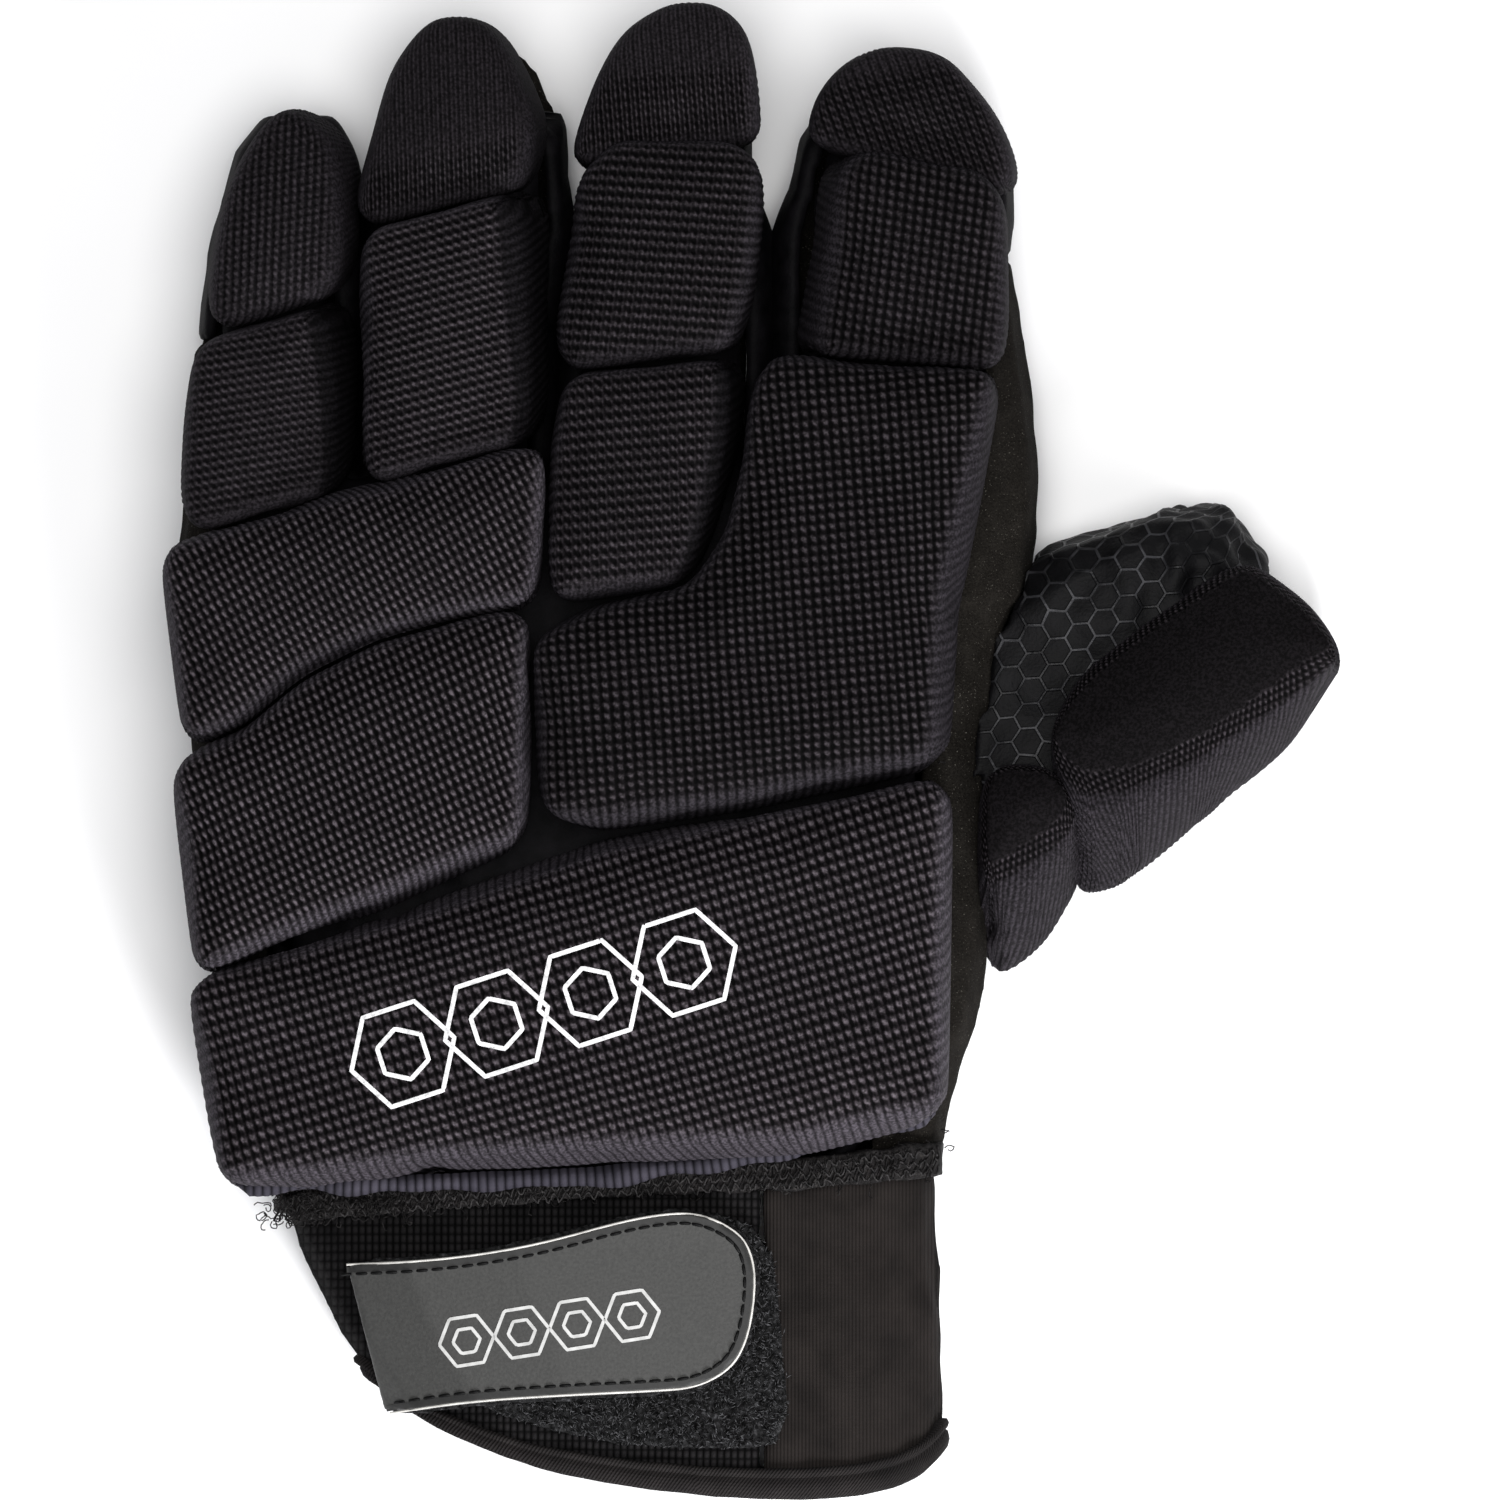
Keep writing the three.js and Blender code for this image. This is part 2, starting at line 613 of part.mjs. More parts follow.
addPiece('palm_panel', handShell.intersect(halfSpace(-FAR, PALM_HEIGHT)), 'suede');
addPiece('index_side_wall', upperShell.intersect(indexSide), 'suede');
addPiece('little_side_wall', upperShell.intersect(littleSide), 'suede');
addPiece('fourchette_little_ring', fingerSides.intersect(between(-FAR, RING_X - GAP)), 'stretch');
addPiece('fourchette_ring_middle', fingerSides.intersect(between(RING_X, MIDDLE_X - GAP)), 'stretch');
addPiece('fourchette_middle_index', fingerSides.intersect(between(MIDDLE_X, FAR)), 'stretch');
addPiece('back_panel', middleShell.intersect(halfSpace(FOURCHETTE_TOP + GAP, FAR)), 'stretch');
addPiece('thumb_stall', thumbShell, 'leather');

for (const [name, pad] of Object.entries(PADS)) {
  const seated = padSolid(pad).subtract(handCover).subtract(thumbCover).subtract(cuffCover);
  addPiece(name, seated, 'knit');
}

addPiece('cuff_rib_panel', cuffShell.intersect(between(CUFF_SPLIT_X + GAP, FAR)), 'rib');
addPiece('cuff_mesh_panel', cuffShell.intersect(between(-FAR, CUFF_SPLIT_X)), 'mesh');
addPiece('hem_binding', hemBinding, 'rib');
addPiece('wrist_seam', wristSeam, 'thread');
addPiece('loop_patch', onCuff(PATCH, GAP, SIZES.patchThickness, SIZES.strapLowest), 'pile');
addPiece('strap_back', onCuff(STRAP, patchTop + GAP, SIZES.strapBackThickness, SIZES.strapLowest), 'pile');
addPiece('strap_badge',
  onCuff(aboveBase(STRAP, 0.8), strapBackTop + GAP, SIZES.strapBadgeThickness, SIZES.strapLowest + 0.8),
  'rubber');

export default group;
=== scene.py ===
import math

import bmesh
import bpy
import numpy as np
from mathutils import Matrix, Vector
from mathutils.bvhtree import BVHTree


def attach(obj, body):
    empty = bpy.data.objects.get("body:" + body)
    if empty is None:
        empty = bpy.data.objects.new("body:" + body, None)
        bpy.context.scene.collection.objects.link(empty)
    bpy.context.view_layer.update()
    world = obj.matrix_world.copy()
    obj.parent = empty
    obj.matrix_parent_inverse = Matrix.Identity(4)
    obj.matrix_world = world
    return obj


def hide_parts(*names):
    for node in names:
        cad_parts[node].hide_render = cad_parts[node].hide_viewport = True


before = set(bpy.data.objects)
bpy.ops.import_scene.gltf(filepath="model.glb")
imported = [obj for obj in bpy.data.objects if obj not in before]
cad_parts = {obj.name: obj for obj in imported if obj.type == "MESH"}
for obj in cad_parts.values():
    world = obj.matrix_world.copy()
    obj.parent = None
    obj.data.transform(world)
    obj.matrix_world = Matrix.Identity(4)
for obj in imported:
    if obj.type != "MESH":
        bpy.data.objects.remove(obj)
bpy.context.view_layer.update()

# Photo set: the glove lies palm down on a white sweep, and the camera looks straight down on it.
# Soft light comes from overhead, with a stronger soft light from the cuff side and the thumb side.
MM = 0.001
VIEW_WIDTH = 250.0
CAMERA_HEIGHT = 8000.0
FOCUS_HEIGHT = 30.0

scene = bpy.context.scene
scene.view_settings.view_transform = "Standard"
scene.view_settings.look = "None"

camera_data = bpy.data.cameras.new("overhead_camera")
camera_data.sensor_width = 36.0
camera_data.lens = 36.0 * (CAMERA_HEIGHT - FOCUS_HEIGHT) / VIEW_WIDTH
camera_data.clip_end = 100.0
camera = bpy.data.objects.new("overhead_camera", camera_data)
camera.location = (-0.25 * MM, 0.08 * MM, CAMERA_HEIGHT * MM)
scene.collection.objects.link(camera)
scene.camera = camera


def soft_light(name, place, size, watts, colour):
    lamp = bpy.data.lights.new(name, "AREA")
    lamp.shape = "DISK"
    lamp.size = size
    lamp.energy = watts
    lamp.color = colour
    holder = bpy.data.objects.new(name, lamp)
    holder.location = place
    holder.rotation_euler = (Vector((0, 0, 0.02)) - Vector(place)).to_track_quat("-Z", "Y").to_euler()
    scene.collection.objects.link(holder)


soft_light("overhead_softbox", (0.0, 0.1, 1.3), 1.0, 16.0, (1.0, 0.99, 0.98))
soft_light("cuff_side_softbox", (0.16, -0.46, 0.26), 0.22, 4.2, (0.98, 0.98, 1.0))
soft_light("thumb_side_softbox", (0.62, -0.2, 0.35), 0.3, 1.0, (1.0, 0.98, 0.96))

sky = bpy.data.worlds.new("studio_sky")
scene.world = sky
sky.use_nodes = True
sky.node_tree.nodes["Background"].inputs["Color"].default_value = (0.9, 0.93, 1.0, 1.0)
sky.node_tree.nodes["Background"].inputs["Strength"].default_value = 0.3


def link_new(name, points, faces):
    """A new object from points in millimetres and faces as index lists."""
    mesh = bpy.data.meshes.new(name)
    mesh.from_pydata((np.asarray(points, float) * MM).tolist(), [], [list(map(int, f)) for f in faces])
    mesh.polygons.foreach_set("use_smooth", [True] * len(mesh.polygons))
    mesh.update()
    piece = bpy.data.objects.new(name, mesh)
    scene.collection.objects.link(piece)
    return piece


class Stuff:
    """A material's nodes, put together a step at a time."""

    def __init__(self, name, colour, roughness, shine=0.04):
        self.material = bpy.data.materials.new(name)
        self.material.use_nodes = True
        self.tree = self.material.node_tree
        self.shader = self.tree.nodes["Principled BSDF"]
        self.shader.inputs["Base Color"].default_value = (*colour, 1.0)
        self.shader.inputs["Roughness"].default_value = roughness
        self.shader.inputs["Specular IOR Level"].default_value = shine

    def node(self, kind, settings=None, **inputs):
        made = self.tree.nodes.new(kind)
        for key, value in (settings or {}).items():
            setattr(made, key, value)
        for key, value in inputs.items():
            self.feed(made.inputs[key.replace("_", " ")], value)
        return made

    def feed(self, socket, value):
        if isinstance(value, bpy.types.NodeSocket):
            self.tree.links.new(value, socket)
        else:
            socket.default_value = value

    def sum(self, how, first, second=None, third=None):
        made = self.tree.nodes.new("ShaderNodeMath")
        made.operation = how
        for socket, value in zip(made.inputs, (first, second, third)):
            if value is not None:
                self.feed(socket, value)
        return made.outputs[0]

    def vector(self, how, first, second=None):
        made = self.node("ShaderNodeVectorMath", {"operation": how})
        for socket, value in zip(made.inputs, (first, second)):
            if value is not None:
                self.feed(socket, value)
        return made.outputs

    def attribute(self, name):
        return self.node("ShaderNodeAttribute", {"attribute_name": name}).outputs["Vector"]

    def split(self, vector):
        return self.node("ShaderNodeSeparateXYZ", Vector=vector).outputs

    def place(self):
        return self.node("ShaderNodeTexCoord").outputs["Object"]

    def grain(self, size_mm, detail=2.0):
        return self.node("ShaderNodeTexNoise", Scale=1.0 / (size_mm * MM), Detail=detail,
                         Vector=self.place()).outputs["Fac"]

    def ramp(self, value, stops):
        """Colours along a value, each a stop and a colour, or a stop and one grey."""
        made = self.node("ShaderNodeValToRGB")
        ramp = made.color_ramp
        while len(ramp.elements) < len(stops):
            ramp.elements.new(0.5)
        for element, (at, colour) in zip(ramp.elements, stops):
            element.position = at
            element.color = (*np.broadcast_to(np.array(colour, float), 3).tolist(), 1.0)
        self.feed(made.inputs["Fac"], value)
        return made.outputs["Color"]

    def blend(self, share, first, second, how="MIX"):
        made = self.node("ShaderNodeMix", {"data_type": "RGBA", "blend_type": how})
        self.feed(made.inputs["Factor"], share)
        for key, value in (("A", first), ("B", second)):
            socket = [s for s in made.inputs if s.name == key and s.type == "RGBA"][0]
            self.feed(socket, value if isinstance(value, bpy.types.NodeSocket) else (*value, 1.0))
        return [s for s in made.outputs if s.type == "RGBA"][0]

    def relief(self, height, depth_mm, under=None):
        made = self.node("ShaderNodeBump", Distance=depth_mm * MM, Strength=1.0)
        self.feed(made.inputs["Height"], height)
        if under:
            self.feed(made.inputs["Normal"], under)
        return made.outputs["Normal"]

    def colour(self, value):
        self.feed(self.shader.inputs["Base Color"], value)

    def gloss(self, value):
        self.feed(self.shader.inputs["Roughness"], value)

    def surface(self, normal):
        self.feed(self.shader.inputs["Normal"], normal)


def grained(name, colour, roughness, size, stops, shine=0.04, detail=2.0):
    """A material whose colour changes along a grain of one size."""
    stuff = Stuff(name, colour, roughness, shine)
    stuff.colour(stuff.ramp(stuff.grain(size, detail), stops))
    return stuff


FLOOR_REACH = 3000.0
FLOOR_DROP = 0.05
floor_stuff = grained("white_sweep", (0.93, 0.93, 0.93), 0.9, 60.0, [(0.3, 0.93), (0.7, 0.95)])
floor = link_new("sweep_floor", [(x * FLOOR_REACH, y * FLOOR_REACH, -FLOOR_DROP)
                                 for x, y in ((-1, -1), (1, -1), (1, 1), (-1, 1))], [(0, 1, 2, 3)])
floor.data.materials.append(floor_stuff.material)

# Hand body: suede palm and side walls, with smooth stretch fabric between the fingers and under the
# pads. They are cut flat and sewn edge to edge, so the walls are thin, with rounded, slightly puckered edges.
def ripple(points, size, seed):
    """A smooth uneven value between about -1 and 1 at points in millimetres, with folds of one size."""
    pick = np.random.default_rng(seed)
    total = np.zeros(len(points))
    for _ in range(9):
        way = pick.normal(size=3)
        way *= 2 * math.pi / (size * pick.uniform(0.7, 1.6) * np.linalg.norm(way))
        total += np.sin(points @ way + pick.uniform(0, 2 * math.pi))
    return total / 4.0


def fabric_copy(node, name, voxel, rounds):
    """The CAD wall again in small even faces, its corners and edges softened."""
    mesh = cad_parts[node].data.copy()
    work = bmesh.new()
    work.from_mesh(mesh)
    bmesh.ops.remove_doubles(work, verts=work.verts, dist=1e-6)
    work.to_mesh(mesh)
    work.free()
    piece = bpy.data.objects.new(name, mesh)
    scene.collection.objects.link(piece)
    remesh = piece.modifiers.new("even_faces", "REMESH")
    remesh.mode = "VOXEL"
    remesh.voxel_size = voxel * MM
    soften = piece.modifiers.new("soften", "SMOOTH")
    soften.factor = 0.5
    soften.iterations = rounds
    made = bpy.data.meshes.new_from_object(piece.evaluated_get(bpy.context.evaluated_depsgraph_get()))
    piece.modifiers.clear()
    piece.data = made
    made.materials.clear()
    made.polygons.foreach_set("use_smooth", [True] * len(made.polygons))
    return piece


def points_of(piece):
    flat = np.empty(len(piece.data.vertices) * 3)
    piece.data.vertices.foreach_get("co", flat)
    return flat.reshape(-1, 3) / MM


def normals_of(piece):
    flat = np.empty(len(piece.data.vertices) * 3)
    piece.data.vertices.foreach_get("normal", flat)
    return flat.reshape(-1, 3)


def set_points(piece, points):
    piece.data.vertices.foreach_set("co", (np.asarray(points) * MM).ravel())
    piece.data.update()


def pucker(piece, size, depth, seed):
    points = points_of(piece)
    points += normals_of(piece) * (depth * ripple(points, size, seed))[:, None]
    points[:, 2] = points[:, 2].clip(0)
    set_points(piece, points)


LANE_LOW, LANE_HIGH = 5, 17
NARROWEST_GAP, WIDEST_GAP = 1.2, 14
LANE_REACH = 4
MEET_OVERLAP = 0.3
BULGE_SPREAD, BULGE_MIDDLE, BULGE_HEIGHT = 6, 11, 14


def close_gap(piece, lane_x, below):
    """Lets the fabric of two neighbouring fingers bulge until it meets, up to one place along them."""
    points = points_of(piece)
    x, y, z = points.T
    lane = (z > LANE_LOW) & (z < LANE_HIGH)
    rows = []
    for middle in np.arange(math.floor(y.min()) + 1.0, y.max()):
        across = np.sort(x[lane & (np.abs(y - middle) < 0.8)])
        widths = np.diff(across)
        apart = np.flatnonzero((widths > NARROWEST_GAP) & (widths < WIDEST_GAP))
        if len(apart):
            pick = apart[np.abs((across[apart] + across[apart + 1]) / 2 - lane_x).argmin()]
            if abs((across[pick] + across[pick + 1]) / 2 - lane_x) < LANE_REACH:
                rows.append((middle, across[pick], across[pick + 1]))
    rows = np.array(rows)
    for _ in range(6):
        rows[1:-1, 1:] = (rows[:-2, 1:] + 2 * rows[1:-1, 1:] + rows[2:, 1:]) / 4
    left, right = np.interp(y, rows[:, 0], rows[:, 1]), np.interp(y, rows[:, 0], rows[:, 2])
    room = ((right - left) / 2 + MEET_OVERLAP).clip(0, LANE_REACH) * ((below - y) / 8).clip(0, 1)
    on_left = x < (left + right) / 2
    away = np.where(on_left, left - x, x - right).clip(0)
    bulge = (1 - away / BULGE_SPREAD).clip(0, 1) * (1 - ((z - BULGE_MIDDLE) / BULGE_HEIGHT) ** 2).clip(0, 1)
    points[:, 0] += np.where(on_left, 1, -1) * room * bulge
    set_points(piece, points)


def fit(piece, stuff, slot, *nodes):
    """Gives a piece its material and its place in the frame."""
    piece.data.materials.append(stuff.material)
    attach(piece, "root")
    if nodes:
        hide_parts(*nodes)
    return piece


suede = Stuff("suede", (0.014, 0.0125, 0.0105), 0.95)
nap = suede.grain(5.0, 4.0)
fibre = suede.grain(0.35, 3.0)
suede_tone = suede.ramp(nap, [
    (0.3, (0.0050, 0.0043, 0.0035)), (0.55, (0.0090, 0.0080, 0.0068)), (0.75, (0.0170, 0.0152, 0.0130))])
suede_fibre = suede.ramp(fibre, [(0.35, (0.0032, 0.0028, 0.0023)), (0.7, (0.0155, 0.0138, 0.0116))])
flecks = suede.ramp(suede.grain(0.28, 1.0), [(0.70, 0), (0.78, (0.1, 0.094, 0.08))])
suede.colour(suede.blend(1.0, suede.blend(0.5, suede_tone, suede_fibre), flecks, "ADD"))
suede.surface(suede.relief(fibre, 0.25, suede.relief(nap, 0.4)))

stretch = Stuff("stretch_fabric", (0.003, 0.003, 0.0035), 0.6)
stretch_tone = stretch.grain(3.0, 3.0)
stretch.colour(stretch.ramp(stretch_tone, [(0.3, (0.0015, 0.0015, 0.0018)), (0.7, (0.005, 0.0045, 0.0055))]))
stretch.surface(stretch.relief(stretch.grain(0.4, 2.0), 0.08))

FINGERS_MEET = {"fourchette_little_ring": (-65.3, 100), "fourchette_ring_middle": (-32, 96),
                "fourchette_middle_index": (4, 94)}
for node, name, stuff, slot, voxel, rounds, depth in (
        ("palm_panel", "suede_palm", suede, "suede", 2.1, 4, 0.15),
        ("index_side_wall", "suede_index_side", suede, "suede", 0.95, 7, 0.3),
        ("little_side_wall", "suede_little_side", suede, "suede", 1.0, 7, 0.3),
        *((f"fourchette_{one}_{other}", f"stretch_between_{one}_and_{other}", stretch, "stretch_fabric",
           1.15, 5, 0.2) for one, other in (("little", "ring"), ("ring", "middle"), ("middle", "index"))),
        ("back_panel", "stretch_back", stretch, "stretch_fabric", 2.1, 4, 0.15)):
    wall = fabric_copy(node, name, voxel, rounds)
    if node in FINGERS_MEET:
        close_gap(wall, *FINGERS_MEET[node])
    if node == "fourchette_ring_middle":
        # The ring finger's end is pulled in, clear of the middle finger's pad
        wall_points = points_of(wall)
        x, y = wall_points[:, 0], wall_points[:, 1]
        ring_end = ((y - 102) / 4).clip(0, 1) * (x < FINGERS_MEET[node][0])
        wall_points[:, 0] -= 4.0 * ring_end + 2.5 * ((y - 107) / 4).clip(0, 1) * ring_end
        set_points(wall, wall_points)
    pucker(wall, 14.0, depth, 3)
    pucker(wall, 5.0, 0.3 * depth, 4)
    fit(wall, stuff, slot, node)

# Foam pads on the back of the hand and the thumb: blocks of foam under one layer of waffle knit, which
# is stretched over the shoulders and turned under at the foot. Sizes are in millimetres and degrees.

# sections: lines across the pad, each with its left end, right end and the height of the crown.
# crown: the same lines round the smooth top of a thumb pad. base: height of the foot. corner: how far
# the corners are rounded. lean, lean_to: how far the crown leans back from one side, and which side.
# shaded: how much painted shade darkens that side. knit: direction of the rib waves and of the row waves,
# then their
# pitches. loops: shares of the rib, row, slanted and half-pitch waves. slip: shift of the slanted wave.
# even: how evenly the yarn is coloured. steps: mesh steps in a cell. ribs_past: a place, and how far
# past it the rows give way to plain ribs. tilt: slope of the crown across the pad.
PADS = {
    "little_tip_pad": dict(
        base=13, corner=7, lean=4, lean_to=(1, 0.2), shaded=0.3, knit=(-2, 101, 1.3, 1.3),
        loops=(0.5, 0.24, 0.18, 0.08), slip=75, even=0.6,
        sections=((-89.5, 70.2, -68, 77, 36), (-89.7, 76, -65.6, 83, 36), (-88.4, 85, -65.4, 92, 35),
                  (-86.6, 94, -65.6, 98.7, 32.5), (-82.3, 102, -67.8, 103, 30),
                  (-78, 106.6, -73.6, 106.8, 27))),
    "little_middle_pad": dict(
        base=14, corner=6, lean=6.5, lean_to=(1, 0.28), shaded=1.0, knit=(-2, 100, 1.3, 1.43),
        loops=(0.1, 0.45, 0.4, 0.05), slip=-130, even=0.45,
        sections=((-93, 36.5, -67.5, 44, 38), (-94.2, 42, -66, 52, 38), (-93.5, 55.5, -65.5, 62, 37.5),
                  (-92, 67.5, -66.5, 75.2, 36.5))),
    "ring_tip_pad": dict(
        base=13, corner=7, lean=3, lean_to=(1, 0.1), shaded=0.3, steps=2, ribs_past=(-64, 88, 7),
        knit=(2, 103, 1.5, 1.6),
        loops=(0.15, 0.15, 0.2, 0.5), slip=-130, even=0.8,
        sections=((-64, 87.6, -36.6, 94, 38), (-65.6, 91, -34.8, 99, 37.5), (-63.2, 99.2, -34, 105, 36),
                  (-61, 108, -35.6, 109, 34), (-59.4, 113.5, -37.9, 114, 31.5),
                  (-55.4, 119.2, -41.2, 119.4, 29),
                  (-52, 121.9, -45.5, 121.9, 27))),
    "ring_long_pad": dict(
        base=14.5, corner=6, lean=7.5, lean_to=(1, 0.26), shaded=1.0, knit=(3, 105, 1.37, 1.56),
        loops=(0.1, 0.46, 0.37, 0.07), slip=-130, even=0.2,
        sections=((-63.5, 44.6, -35.5, 52.3, 40.5), (-64.2, 50, -34.2, 58.5, 40.5),
                  (-64.2, 68.5, -34, 75, 40),
                  (-64, 86.3, -34, 93.7, 38.5))),
    "middle_tip_pad": dict(
        base=13, corner=8, lean=1, lean_to=(0, -1), steps=2, ribs_past=(-29, 97, 13.5),
        knit=(5, 94, 1.56, 1.6),
        loops=(0.15, 0.15, 0.2, 0.5), slip=-130, even=0.8,
        sections=((-29.7, 96.5, 1, 101, 38.5), (-28.4, 102.5, 0.8, 106, 37.5), (-25, 112.5, 0, 114, 34.5),
                  (-21, 119.6, -1.4, 119.9, 31), (-15.6, 123, -4.6, 123, 28),
                  (-12.6, 124.2, -7.4, 124.2, 27))),
    "middle_middle_pad": dict(
        base=14.5, corner=6, lean=1, lean_to=(1, -0.6), knit=(-6, 86, 1.58, 1.71),
        loops=(0.12, 0.44, 0.25, 0.19), slip=-125, even=0.15,
        sections=((-30.5, 63.5, -3, 66.5, 41), (-31.7, 69.5, -0.2, 75.5, 41), (-28.7, 86, 1.2, 89, 40),
                  (-28.2, 95.4, 1.2, 97.4, 39), (-22.5, 101.2, -3, 101, 37.5))),
    "middle_lower_pad": dict(
        base=16, corner=7, lean=3.5, lean_to=(1, 0.12), shaded=1.0, knit=(2, 95, 1.5, 1.85),
        loops=(0.09, 0.4, 0.36, 0.15), slip=-125, even=0.15,
        sections=((-33, 25.2, -10, 28.7, 45), (-33.5, 33, -6, 38.5, 44.5), (-32.4, 50, -2, 53, 43),
                  (-30.3, 62.2, -1.2, 65, 41.5))),
    "index_tip_pad": dict(
        base=13, corner=7, lean=1.2, lean_to=(1, -0.4), steps=2, ribs_past=(10.5, 101, 8),
        knit=(20, 100, 1.5, 1.58),
        loops=(0.3, 0.15, 0.25, 0.3), slip=60, even=0.8,
        sections=((10.3, 100.8, 43.6, 92.3, 38), (9.9, 103.5, 44.6, 96.5, 37.5), (11.4, 109, 41, 105, 35.5),
                  (15.5, 114, 36.3, 110.8, 32), (21.8, 117, 31.8, 115.8, 28.5))),
    "index_middle_pad": dict(
        base=14.5, corner=6, lean=4.5, lean_to=(-1, 0.1), knit=(-6, 78, 1.63, 1.62),
        loops=(0.42, 0.32, 0.15, 0.11), slip=64, even=0.2,
        sections=((7.3, 66.4, 41, 63.6, 41), (8.5, 74, 41.8, 71.5, 40.5), (10.2, 84, 41.6, 80, 40),
                  (11.6, 96.8, 41.6, 91.5, 39), (17.5, 99.9, 38, 96.2, 37.5))),
    "index_hand_pad": dict(
        base=16, corner=7, lean=2, lean_to=(1, -0.4), knit=(4, 96, 1.64, 1.72),
        loops=(0.37, 0.31, 0.22, 0.1), slip=52, even=0.0,
        sections=((-36, 18, -34, -10.5, 46), (-25, 23.6, -25, -12.4, 46.5), (-10.2, 27.2, -1, -8.9, 47),
                  (-4, 36, 32.3, -2, 46.5), (-1, 48.5, 33.8, 23.5, 46), (0.2, 59, 38, 45, 44.5),
                  (3, 65.2, 41, 62.4, 42.5))),
    "upper_knuckle_pad": dict(
        base=14, corner=7, lean=0.9, lean_to=(0, -1), knit=(25, 120, 1.3, 1.9),
        loops=(0.48, 0.24, 0.24, 0.04), slip=65, even=0.05,
        sections=((-97.6, 33.2, -93.6, 0.8, 38), (-86, 36.7, -85.5, 3.4, 40.5),
                  (-71.5, 41.4, -74.5, 12.3, 42.5),
                  (-60, 44, -62, 18.6, 44), (-46, 48.2, -46, 23, 45), (-34.5, 50.2, -36.5, 24.6, 45))),
    "lower_knuckle_pad": dict(
        base=14, corner=7, lean=0.9, lean_to=(0.2, -1), knit=(20, 115, 1.34, 1.89),
        loops=(0.45, 0.28, 0.25, 0.02), slip=50, even=0.0,
        sections=((-95.8, -2.4, -91.6, -37.6, 37.5), (-85, 2.8, -81, -33.2, 40.5),
                  (-74.5, 11.4, -72, -29.7, 43),
                  (-62, 17.6, -61, -25.5, 44.5), (-46, 21.8, -49, -19.8, 45.5),
                  (-37.2, 22.7, -38.2, -15.3, 46))),
    "back_hand_pad": dict(
        base=13, corner=8, lean=1.6, lean_to=(0, -1), knit=(15, 107, 1.56, 2.08),
        loops=(0.3, 0.33, 0.22, 0.15), slip=55, even=0.0,
        sections=((-93.2, -38.6, -87.6, -73, 35), (-75, -33, -70, -72.4, 39.5),
                  (-58.5, -28, -53.5, -70, 43),
                  (-25, -16.2, -25, -68.2, 46), (8, -9.7, 8, -66.8, 46), (32.4, -5, 31.5, -61, 43))),
    "thumb_tip_pad": dict(
        base=4, corner=5, lean=10, lean_to=(0.65, -0.76), tilt=0.42, steps=2, knit=(23, 113, 1.07, 1.25),
        loops=(0.45, 0.3, 0.25, 0.0), slip=60, even=0.2,
        sections=((50.2, 2.6, 54.3, -25.0, 31), (55.2, 12.4, 62.5, -22.2, 31),
                  (65.3, 20.5, 74.5, -12.2, 31.5),
                  (75.3, 27.3, 89.3, 0.4, 31), (81.8, 31.5, 96.6, 11.2, 29.5),
                  (92.4, 23.6, 98.2, 15.3, 28)),
        crown=((49.9, 2.6, 54.6, -3.2), (56.4, 11.4, 63.1, -2.6), (66.4, 19.4, 75.1, 3.1),
               (76.4, 26.2, 87.3, 11.6), (82.2, 30.2, 92.8, 15.8), (91.4, 23.0, 96.6, 17.1))),
    "thumb_base_pad": dict(
        base=3, corner=5, lean=8, lean_to=(0.65, -0.76), tilt=0.3, steps=2, knit=(23, 113, 1.07, 1.25),
        loops=(0.45, 0.3, 0.25, 0.0), slip=60, even=0.2,
        sections=((38.7, -17.6, 38.7, -40.6, 28), (38.8, -10, 48.5, -32.7, 29.5),
                  (39.6, -2.6, 55.0, -22.0, 30),
                  (50.4, -3.2, 55.2, -10.4, 29.5)),
        crown=((39.2, -16.8, 39.5, -18.9), (39.4, -10, 46.5, -14.6), (40.2, -3.2, 51.4, -11.1),
               (50.0, -4.0, 52.7, -7.6))),
}
CELL_STEPS = 3
SHOULDER = ((2.2, 1.0, "down", 0.3), (1.5, 1.0, "down", 0.5), (0.45, 0.92, "down", 1.7),
            (0.0, 0.7, "down", 4.2), (0.0, 0.0, "up", 3.0), (1.6, 0.0, "up", 0.0))
EDGE_DROP = 1.5
SKIRT_STEP = 0.4
HIDDEN_SKIRT = 5.5
CELL_DEPTH = 0.42
PULLED_LEVEL = 0.7
PLUMP = 0.4
THUMB_WAFFLE = 3.5


def round_corner(before, here, after, corner):
    """Nine places along the curve that rounds off one corner of a line."""
    back, ahead = np.linalg.norm(before - here), np.linalg.norm(after - here)
    start = here + (before - here) * min(corner, 0.49 * back) / back
    end = here + (after - here) * min(corner, 0.49 * ahead) / ahead
    return [(1 - t) ** 2 * start + 2 * t * (1 - t) * here + t * t * end for t in np.linspace(0, 1, 9)]


def outline_path(sections, corner):
    """Closed path through the sections: up their right ends and back down their left ends."""
    rows = np.array(sections, float)
    corners = np.vstack([rows[:, 2:4], rows[::-1, 0:2]])
    path = []
    for i, here in enumerate(corners):
        path += round_corner(corners[i - 1], here, corners[(i + 1) % len(corners)], corner)
    return np.vstack([path, path[:1]])


def run_of(line):
    """How far along a line each of its points lies."""
    return np.concatenate([[0], np.cumsum(np.linalg.norm(np.diff(line, axis=0), axis=1))])


def cut_outline(sections, corner, step, follow=None):
    """The path at even steps, or another path with as many corners at the matching places."""
    closed = outline_path(sections, corner)
    run = run_of(closed)
    at = np.linspace(0, run[-1], int(run[-1] / step), endpoint=False)
    matching = closed if follow is None else outline_path(follow, corner)
    return np.stack([np.interp(at, run, matching[:, k]) for k in (0, 1)], 1)


def even_out(loop, rounds):
    for _ in range(rounds):
        loop = (np.roll(loop, 1, 0) + 2 * loop + np.roll(loop, -1, 0)) / 4
    return loop


